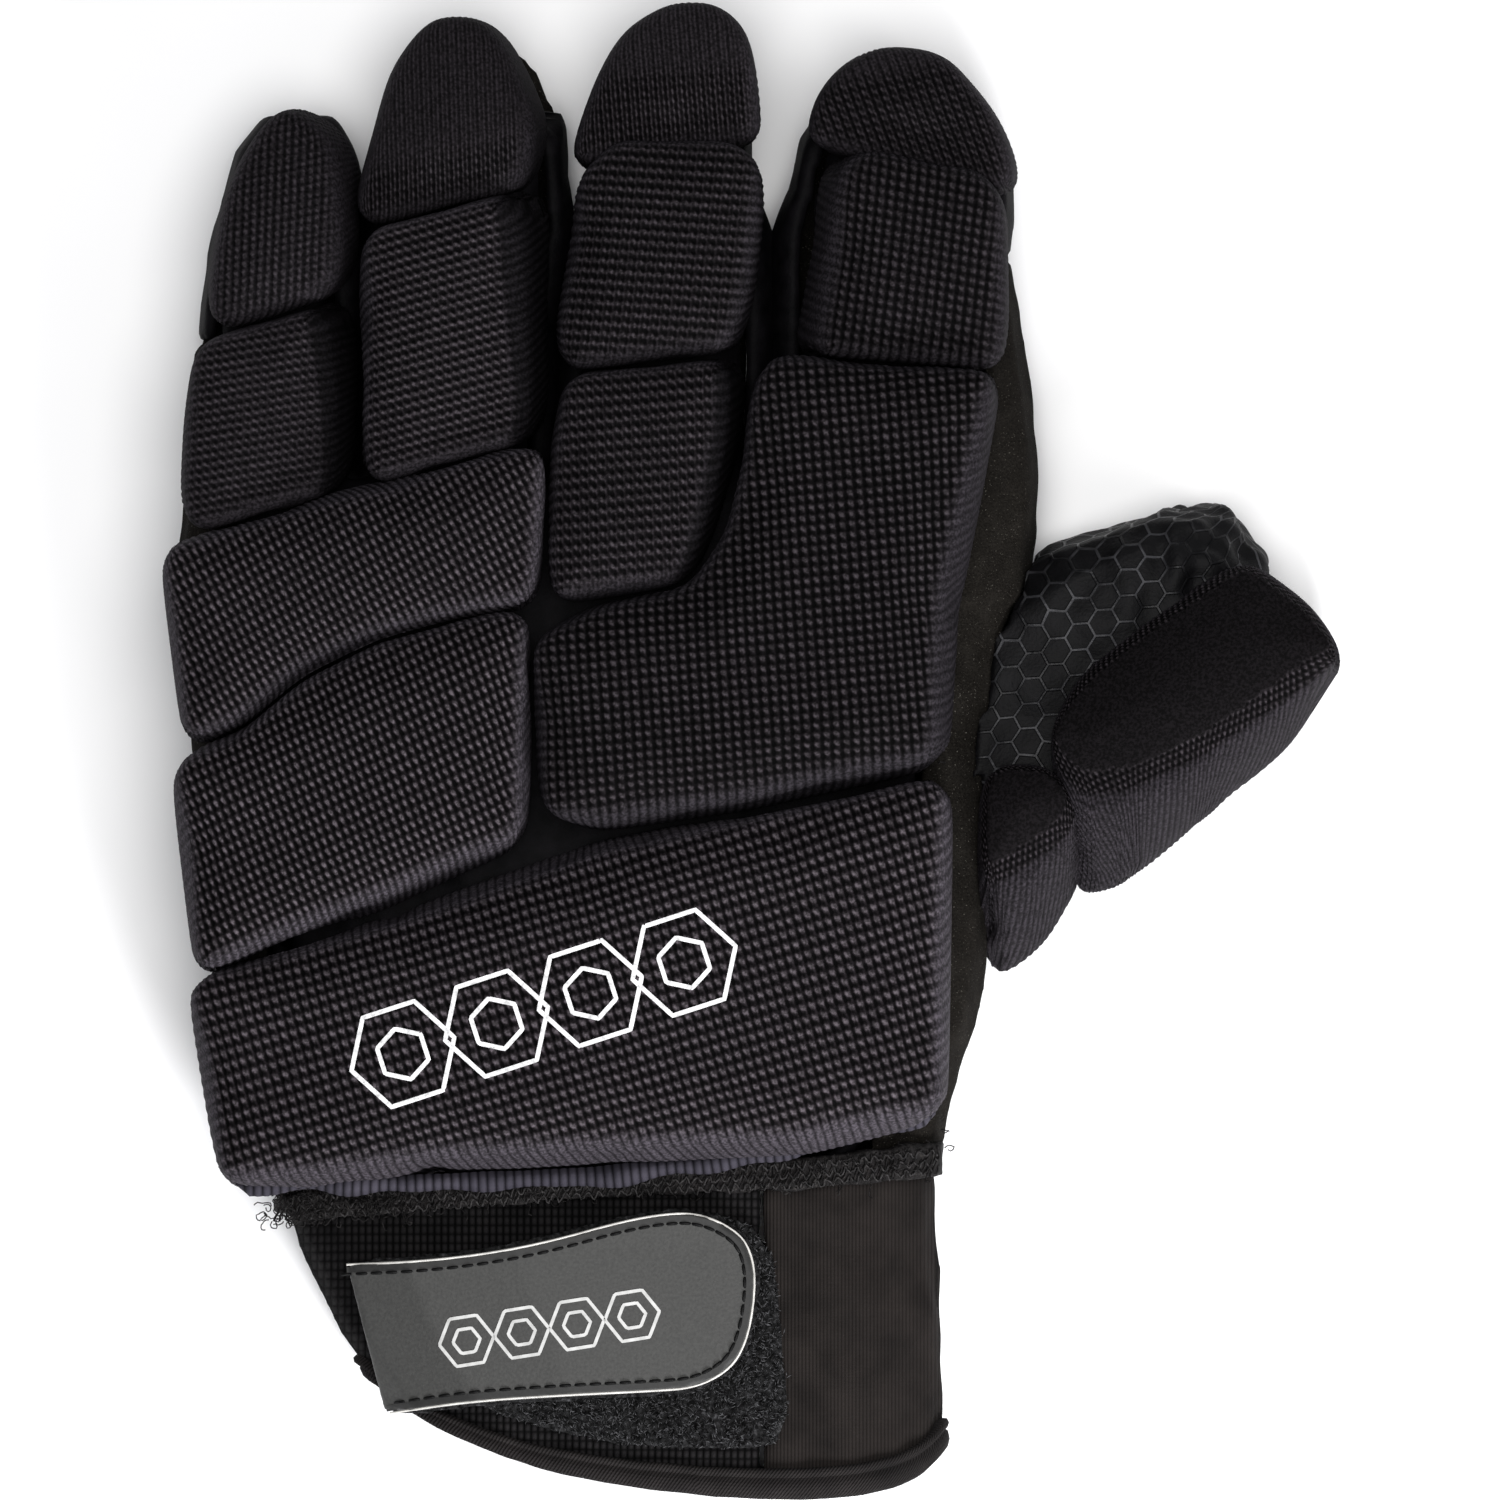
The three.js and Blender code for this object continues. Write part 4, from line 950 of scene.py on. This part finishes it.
# Hem: woven tape folded over the cuff's lower edge and sewn down, with a ridge where it is stitched.
CUFF_ROWS = np.array([(-130, -44, 31.5, 1.2, 23), (-108, -60.6, 32, 1.1, 24), (-97, -68.8, 32, 0.9, 24.5),
                      (-83, -75.6, 31, 0.4, 25), (-77, -77.5, 31, 0.2, 25.6), (-71.5, -82, 31, 0, 26)])
HEM_LINE = np.array([(-78, -98.5), (-64.5, -103), (-55, -111.5), (-43.5, -117), (-31.5, -120.8),
                     (-13.5, -123.6), (4, -124.8), (18, -124.3), (28, -121.5), (33, -115), (40, -104)])
TAPE_PROFILE = ((5.0, 0.1), (4.95, 0.8), (4.3, 1.15), (3.6, 0.95), (3.25, 0.5), (2.9, 1.0), (1.6, 1.3),
                (0.3, 1.05), (-0.3, 0.2), (-0.4, -1.1), (-0.3, -2.3), (0.3, -3.1), (4.5, -3.1), (5.0, -2.3))


def on_cuff(angle, y):
    """A point of the cuff's outer surface, round the wrist by angle and along it by y."""
    left, right, low, top = (np.interp(y, CUFF_ROWS[:, 0], CUFF_ROWS[:, k]) for k in (1, 2, 3, 4))
    cosine, sine = np.cos(angle), np.sin(angle)
    squareness = np.where(sine < 0, 0.45, 0.7)
    waist = low + 0.42 * (top - low)
    x = (left + right) / 2 + (right - left) / 2 * np.sign(cosine) * np.abs(cosine) ** squareness
    z = waist + (top - waist) * np.sign(sine) * np.abs(sine) ** 0.8
    return np.stack([x, y, np.maximum(low, z)], -1)


def hem_loop(count):
    """The cuff's lower edge: closed loop of points, the ways along the cuff and the ways out of it."""
    angle = np.linspace(0, 2 * math.pi, 4 * count, endpoint=False)
    smooth_line = HEM_LINE.astype(float)
    for _ in range(3):
        mixed = np.stack([0.75 * smooth_line[:-1] + 0.25 * smooth_line[1:],
                          0.25 * smooth_line[:-1] + 0.75 * smooth_line[1:]], 1).reshape(-1, 2)
        smooth_line = np.vstack([smooth_line[:1], mixed, smooth_line[-1:]])
    y = np.full(len(angle), -110.0)
    for _ in range(12):
        y = 0.5 * y + 0.5 * np.interp(on_cuff(angle, y)[:, 0], smooth_line[:, 0], smooth_line[:, 1])
    spots = on_cuff(angle, y)
    run = run_of(np.vstack([spots, spots[:1]]))
    at = np.linspace(0, run[-1], count, endpoint=False)
    closed = np.vstack([np.column_stack([angle, y]), [2 * math.pi, y[0]]])
    angle, y = (np.interp(at, run, closed[:, k]) for k in (0, 1))
    edge = on_cuff(angle, y)
    up = on_cuff(angle, y + 4) - edge
    up /= np.linalg.norm(up, axis=1)[:, None]
    around = np.roll(edge, -1, 0) - np.roll(edge, 1, 0)
    out = np.cross(even_out(around, 3), up)
    return edge, up, out / np.linalg.norm(out, axis=1)[:, None], at


hem_edge, hem_up, hem_out, hem_run = hem_loop(420)
if (hem_out[105] @ (0, 0, 1)) < 0:
    hem_out = -hem_out
profile = np.array(TAPE_PROFILE)
wave = ripple(hem_edge, 7.0, 31) * 0.16
puffed_out = (wave[:, None] * (profile[:, 1] > 0.3))[:, :, None]
hem_points = (hem_edge[:, None] + hem_up[:, None] * (profile[None, :, :1] + 0.5 * wave[:, None, None])
              + hem_out[:, None] * (profile[None, :, 1:] + puffed_out))
hem_points = hem_points.reshape(-1, 3)
hem_points[:, 2] = hem_points[:, 2].clip(0)
rows, width = len(hem_edge), len(profile)
hem_faces = [(i * width + j, i * width + (j + 1) % width, (i + 1) % rows * width + (j + 1) % width,
              (i + 1) % rows * width + j) for i in range(rows) for j in range(width)]
hem = link_new("hem_tape", hem_points, hem_faces)
keep_vector(hem, "wrapped", np.column_stack([
    np.repeat(hem_run, width) + np.tile(profile[:, 0], rows), np.tile(profile[:, 0] * 1.3, rows),
    np.zeros(rows * width)]))
fit(hem, tape, "cuff_rib", "hem_binding")


def strands(name, paths, radius, sides=4):
    """Round threads along paths: an array of paths, points and places in millimetres."""
    paths = np.asarray(paths, float)
    along = np.gradient(paths, axis=1)
    along /= np.maximum(np.linalg.norm(along, axis=2), 1e-9)[..., None]
    side = np.cross(along, (0.13, 0.21, 0.97))
    side /= np.maximum(np.linalg.norm(side, axis=2), 1e-9)[..., None]
    above = np.cross(side, along)
    turns = 2 * math.pi * np.arange(sides) / sides
    ring = side[:, :, None] * np.cos(turns)[:, None] + above[:, :, None] * np.sin(turns)[:, None]
    points = paths[:, :, None] + radius * ring
    index = np.arange(points[..., 0].size).reshape(points.shape[:3])
    turned = np.roll(index, -1, 2)
    faces = np.stack([index[:, :-1], index[:, 1:], turned[:, 1:], turned[:, :-1]], 3).reshape(-1, 4)
    return link_new(name, points.reshape(-1, 3), faces)


def height_over(pieces, plan):
    """Height of the highest of some pieces above each place in plan."""
    best = np.full(len(plan), -1.0)
    for piece in pieces:
        faces = [tuple(f.vertices) for f in piece.data.polygons]
        tree = BVHTree.FromPolygons(points_of(piece).tolist(), faces)
        for i, (x, y) in enumerate(plan):
            hit = tree.ray_cast(Vector((x, y, 90)), Vector((0, 0, -1)))[0]
            if hit:
                best[i] = max(best[i], hit[2])
    return best


def height_on(pieces, plan):
    """The same for a line on the pieces, whose places just off them take their neighbours' height."""
    height = height_over(pieces, plan)
    met = np.flatnonzero(height > 0)
    return np.interp(np.arange(len(height)), met, height[met])


# Overlocked lip at the wrist: the raw edges of the hand and the cuff sewn together with a row of
# close thread loops, some of them worked loose.
lip = fabric_copy("wrist_seam", "overlocked_lip", 0.6, 4)
pucker(lip, 6.0, 0.35, 41)
fit(lip, thread, "seam_thread", "wrist_seam")
LIP_LINE = np.array([(-79, -76.4), (-54.2, -74.4), (-25, -72.2), (9.5, -70.6), (31.3, -68.4)])
LIP_STITCH = 0.95
rng = np.random.default_rng(5)


def along_line(line, step):
    """Even places along a bent line, with the way across it."""
    run = run_of(line)
    at = np.arange(0, run[-1], step)
    spots = np.stack([np.interp(at, run, line[:, k]) for k in range(line.shape[1])], 1)
    way = np.gradient(spots[:, :2], axis=0)
    way /= np.linalg.norm(way, axis=1)[:, None]
    return spots, np.column_stack([-way[:, 1], way[:, 0]])


stations, across = along_line(LIP_LINE, LIP_STITCH)
STITCH_REACH, STITCH_POINTS = 2.2, 7
LIP_FOOT = 14.0
sweep = np.linspace(-STITCH_REACH, STITCH_REACH, STITCH_POINTS)
back_along = np.column_stack([across[:, 1], -across[:, 0]])[:, None]
plan = (stations[:, None] + across[:, None] * sweep[:, None]
        + back_along * (0.28 * sweep + 0.25 * rng.normal(size=STITCH_POINTS))[:, None])
flat_plan = plan.reshape(-1, 2)
stitch_height = height_over([lip], flat_plan).reshape(len(stations), -1)
ground = np.maximum(stitch_height.max(1, keepdims=True) - STITCH_REACH, LIP_FOOT)
stitch_height = np.maximum(stitch_height, ground) + 0.12
stitches = np.concatenate([plan, stitch_height[..., None]], 2)
stitches += 0.12 * rng.normal(size=stitches.shape)
fit(strands("overlock_stitches", stitches, 0.2), thread, "seam_thread")

fuzz = []
for _ in range(150):
    start = stitches[rng.integers(len(stitches)), rng.integers(STITCH_POINTS)]
    heading = rng.uniform(0, 2 * math.pi)
    spot, path = start.copy(), []
    for _ in range(9):
        heading += rng.normal(0, 0.75)
        way = np.array([math.cos(heading), math.sin(heading), rng.normal(0.05, 0.3)])
        spot = spot + way * rng.uniform(0.25, 0.5)
        path.append(spot)
    fuzz.append(path)
for place in ((31.6, -63.5), (32.2, -66.2), (-79.0, -76.6), (30.6, -0.8), (31.0, -2.2)):
    turn = np.linspace(0.3, 5.2, 9)
    size = rng.uniform(0.5, 0.9)
    fuzz.append(np.column_stack([place[0] + size * (1 - np.cos(turn)) + 0.15 * rng.normal(size=9),
                                 place[1] + 0.6 * size * np.sin(turn) + 0.15 * rng.normal(size=9),
                                 24 + 1.5 * np.sin(turn)]))
for _ in range(130):
    start = np.array([rng.uniform(-81, -50), 0, 0])
    start[1] = -76.5 + 0.09 * (start[0] + 80) + rng.uniform(-3.2, 2.2)
    start[2] = rng.uniform(25.5, 28)
    heading = rng.uniform(0, 2 * math.pi)
    spot, path = start, []
    for _ in range(9):
        heading += rng.normal(0.5, 0.5)
        way = np.array([math.cos(heading), math.sin(heading), rng.normal(0, 0.25)])
        spot = spot + way * rng.uniform(0.3, 0.5)
        path.append(spot)
    fuzz.append(path)
fit(strands("loose_threads", fuzz, 0.12, 3), thread, "seam_thread")

chains = []
CHAIN_STEP, CHAIN_PITCH = 0.22, 1.9
walk, walk_across = along_line(LIP_LINE, CHAIN_STEP)
for offset, phase in ((-1.7, 0.0), (-0.2, 2.0), (1.4, 4.0)):
    swing = np.arange(len(walk)) * CHAIN_STEP * 2 * math.pi / CHAIN_PITCH + phase
    chain = walk + walk_across * (offset + 0.55 * np.sin(swing) + 0.2 * rng.normal(size=len(walk)))[:, None]
    rise = height_on([lip], chain)
    chains.append(np.column_stack([chain, rise + 0.3 + 0.15 * np.cos(2 * swing)]))
chain_thread = grained("chain_thread", (0.02, 0.019, 0.02), 0.7, 0.7,
                       [(0.35, 0.004), (0.65, (0.03, 0.028, 0.028))], 0.1)
fit(strands("overlock_chain", chains, 0.17), chain_thread, "seam_thread")

# Turned edge: the back cover's lower edge is folded under and sewn down, and stands out as a wavy roll.
TURNED_LINE = np.array([(-86, -72.6), (-73, -72.3), (-59, -72.6), (-40, -71.9), (-25, -71.2), (-8, -69.3),
                        (8, -66.4), (20, -63.2), (31, -60.6)])
ROLL_STEP = 0.45
roll, roll_across = along_line(TURNED_LINE, ROLL_STEP)
roll_run = np.arange(len(roll)) * ROLL_STEP
roll_wave = ripple(np.column_stack([roll, 0 * roll_run]), 9.0, 51)
roll_points, roll_rows = [], 9
for i, (spot, way, wave_here) in enumerate(zip(roll, roll_across, roll_wave)):
    ends = min(1.0, min(i, len(roll) - 1 - i) / 5)
    bulge = (1.5 + 0.45 * wave_here) * ends + 0.1
    for k in range(roll_rows):
        bend = math.radians(-60 + 240 * k / (roll_rows - 1))
        rib_here = 0.12 * abs(math.sin(math.pi * roll_run[i] / 1.5)) * ends
        reach = bulge + rib_here
        roll_points.append((*(spot - way * (reach * math.sin(bend) - 0.4 + 0.25 * wave_here)),
                            29.0 + 1.5 * reach * math.cos(bend) + 0.4 * wave_here))
roll_faces = [(i * roll_rows + k, i * roll_rows + k + 1, (i + 1) * roll_rows + k + 1, (i + 1) * roll_rows + k)
              for i in range(len(roll) - 1) for k in range(roll_rows - 1)]
turned = link_new("turned_edge", roll_points, roll_faces)
keep_vector(turned, "wrapped", np.column_stack([
    np.repeat(roll_run, roll_rows), np.tile(np.arange(roll_rows), len(roll)), np.zeros(len(roll_points))]))
turned_knit = rib_stuff("turned_knit", (0.008, 0.0075, 0.010), (0.036, 0.034, 0.044), 1.5, 0.2, 0.1)
fit(turned, turned_knit, "pad_knit")

# Strap: a grey moulded badge with a pale raised rim, stitched onto a thin dark back layer, which
# closes on a patch of black loop pile on the cuff.
pile = Stuff("loop_pile", (0.005, 0.005, 0.0055), 0.9, shine=0.1)
tuft = pile.grain(0.9, 3.0)
pile.colour(pile.ramp(tuft, [(0.35, 0.0008), (0.6, (0.016, 0.016, 0.0165)), (0.8, (0.062, 0.062, 0.065))]))
pile.surface(pile.relief(tuft, 0.9))
for node, name in (("loop_patch", "loop_pile_patch"), ("strap_back", "strap_back_layer")):
    layer = fabric_copy(node, name, 0.7, 3)
    fit(layer, pile, "loop_pile", node)
patch = bpy.data.objects["loop_pile_patch"]

rubber = Stuff("badge_rubber", (0.038, 0.038, 0.036), 0.62, shine=0.3)
speck = rubber.grain(0.5, 3.0)
rubber.colour(rubber.ramp(speck, [(0.3, (0.024, 0.024, 0.0228)), (0.7, (0.036, 0.036, 0.034))]))
rubber.surface(rubber.relief(speck, 0.06))
badge = fabric_copy("strap_badge", "moulded_badge", 0.6, 3)
fit(badge, rubber, "badge_rubber", "strap_badge")

STRAP_TOP = ((-67.6, -84.6), (-52.5, -83.9), (-36.5, -81.5), (-18, -76.3), (-7, -75.8), (2.4, -82.5))
STRAP_LOW = ((0.5, -101), (-7.5, -107.3), (-18.5, -108), (-31.5, -108.6), (-47.5, -109.7), (-60.6, -111.8))


def rounded_line(corners, corner, step):
    """An open line through the corners, each one rounded off."""
    corners = np.array(corners, float)
    path = [corners[0]]
    for before, here, after in zip(corners, corners[1:], corners[2:]):
        path += round_corner(before, here, after, corner)
    return along_line(np.array([*path, corners[-1]]), step)


def inset_line(inset, step):
    spots, left_of = rounded_line(STRAP_TOP + STRAP_LOW, 9.0, step)
    return spots - inset * left_of


def on_badge(plan, lift):
    return np.column_stack([plan, height_on([badge], plan) + lift])


def strip(plan, width, pieces, lift, closed):
    """A flat printed line that lies on some pieces."""
    if closed:
        way = np.roll(plan, -1, 0) - np.roll(plan, 1, 0)
    else:
        way = np.gradient(plan, axis=0)
    way /= np.maximum(np.linalg.norm(way, axis=1), 1e-9)[:, None]
    left_of = np.column_stack([-way[:, 1], way[:, 0]])
    rails = plan[:, None] + left_of[:, None] * (np.array([-0.5, -0.17, 0.17, 0.5]) * width)[:, None]
    height = height_on(pieces, rails.reshape(-1, 2))
    points = np.column_stack([rails.reshape(-1, 2), height + lift])
    count = len(plan)
    faces = [(i * 4 + j, i * 4 + j + 1, (i + 1) % count * 4 + j + 1, (i + 1) % count * 4 + j)
             for i in range(count if closed else count - 1) for j in range(3)]
    return points, faces


def printed(name, lines, width, pieces, lift, stuff, slot):
    points, faces = [], []
    for plan, closed in lines:
        more_points, more_faces = strip(plan, width, pieces, lift, closed)
        start = sum(map(len, points))
        points.append(more_points)
        faces += [tuple(start + k for k in face) for face in more_faces]
    return fit(link_new(name, np.vstack(points), faces), stuff, slot)


def hexagon(centre, size, turn):
    """A closed six-sided line."""
    angles = [turn + k * math.pi / 3 for k in range(7)]
    corners = [(centre[0] + size * math.cos(a), centre[1] + size * math.sin(a)) for a in angles]
    return along_line(np.array(corners), 0.45)[0], True


rim_stuff = grained("pale_rim", (0.5, 0.49, 0.46), 0.5, 3.0,
                    [(0.3, (0.36, 0.35, 0.33)), (0.7, (0.55, 0.54, 0.51))], 0.3)
edge_stuff = grained("badge_edge", (0.012, 0.012, 0.0115), 0.55, 0.5,
                     [(0.3, (0.009, 0.009, 0.0085)), (0.7, (0.014, 0.014, 0.0135))], 0.3)
print_stuff = grained("silver_print", (0.4, 0.4, 0.39), 0.5, 1.5,
                      [(0.3, (0.33, 0.33, 0.32)), (0.7, (0.45, 0.45, 0.44))], 0.3)
black_thread = grained("badge_thread", (0.002, 0.002, 0.002), 0.6, 0.6, [(0.3, 0.001), (0.7, 0.004)], 0.1)

fit(strands("badge_rim", on_badge(inset_line(1.15, 0.5), 0.02)[None], 0.2, 6), rim_stuff, "badge_rubber")
printed("badge_edge_band", [(inset_line(2.0, 0.6), False)], 1.0, [badge], 0.1, edge_stuff, "badge_rubber")
seam = inset_line(2.75, 2.5)
seam_way = np.gradient(seam, axis=0)
seam_way /= np.linalg.norm(seam_way, axis=1)[:, None]
dashes = seam[:, None] + seam_way[:, None] * np.linspace(-0.85, 0.85, 6)[:, None]
dash_height = height_on([badge], dashes.reshape(-1, 2)).reshape(len(seam), 6)
dash_height += np.array([-0.2, 0.08, 0.16, 0.16, 0.08, -0.2])
dashes = np.concatenate([dashes, dash_height[..., None]], 2)
fit(strands("badge_stitches", dashes, 0.28, 6), black_thread, "seam_thread")

STRAP_TILT = math.radians(9)
strap_row = [hexagon((-47.5 + 9.2 * k, -98.4 + 1.4 * k), size, STRAP_TILT)
             for size in (4.6, 2.3) for k in range(4)]
printed("badge_print", strap_row, 0.55, [badge], 0.08, print_stuff, "badge_rubber")

# Loops of the pile, left out where the strap lies on them
patch_edge = np.array([(-64, -86), (-42, -83), (-25, -79), (-3, -76.5), (3, -79.5), (4.6, -90), (6.2, -113),
                       (4, -116), (-2, -116.6), (-22, -116), (-38.5, -112.3), (-55, -105)])
strap_edge = inset_line(1.6, 1.0)
PILE_TRIES, PILE_LOOPS = 14000, 2100
places = np.column_stack([rng.uniform(-64, 7, PILE_TRIES), rng.uniform(-118, -76, PILE_TRIES)])
places = places[lies_inside(places, patch_edge) & ~lies_inside(places, strap_edge)][:PILE_LOOPS]
heights = height_over([patch], places)
places, heights = places[heights > 0], heights[heights > 0]
heading = rng.uniform(0, 2 * math.pi, len(places))
turn = np.linspace(-0.4, math.pi + 0.4, 6)
reach = rng.uniform(0.3, 0.55, len(places))[:, None]
tip = rng.uniform(0.5, 1.0, len(places))[:, None]
nudge = 0.3 * rng.normal(size=(len(places), 1))
loops = np.stack([places[:, :1] + reach * np.cos(turn) * np.cos(heading)[:, None] + nudge,
                  places[:, 1:] + reach * np.cos(turn) * np.sin(heading)[:, None],
                  heights[:, None] + tip * np.sin(turn) + 0.05], 2)
loop_thread = grained("pile_loops", (0.02, 0.02, 0.021), 0.7, 0.8,
                      [(0.4, 0.004), (0.65, (0.06, 0.06, 0.063))], 0.15)
fit(strands("pile_loops", loops, 0.085, 3), loop_thread, "loop_pile")

# Print on the back of the hand: white transfer lines in a plain row of six-sided shapes
cover = bpy.data.objects["back_hand_cover"]
ROW_TILT = math.radians(18)
row_way = np.array([math.cos(ROW_TILT), math.sin(ROW_TILT)])
row_start = np.array([-58.0, -50.5])
motif = []
for k in range(4):
    centre = row_start + row_way * 16.4 * k
    motif.append(hexagon(centre, 9.0, ROW_TILT))
    motif.append(hexagon(centre, 4.4, ROW_TILT + math.pi / 6))
white_print = grained("white_print", (0.62, 0.62, 0.62), 0.6, 0.6, [(0.3, 0.45), (0.55, 0.7)])
printed("back_print", motif, 0.75, [cover], 0.07, white_print, "pad_knit")
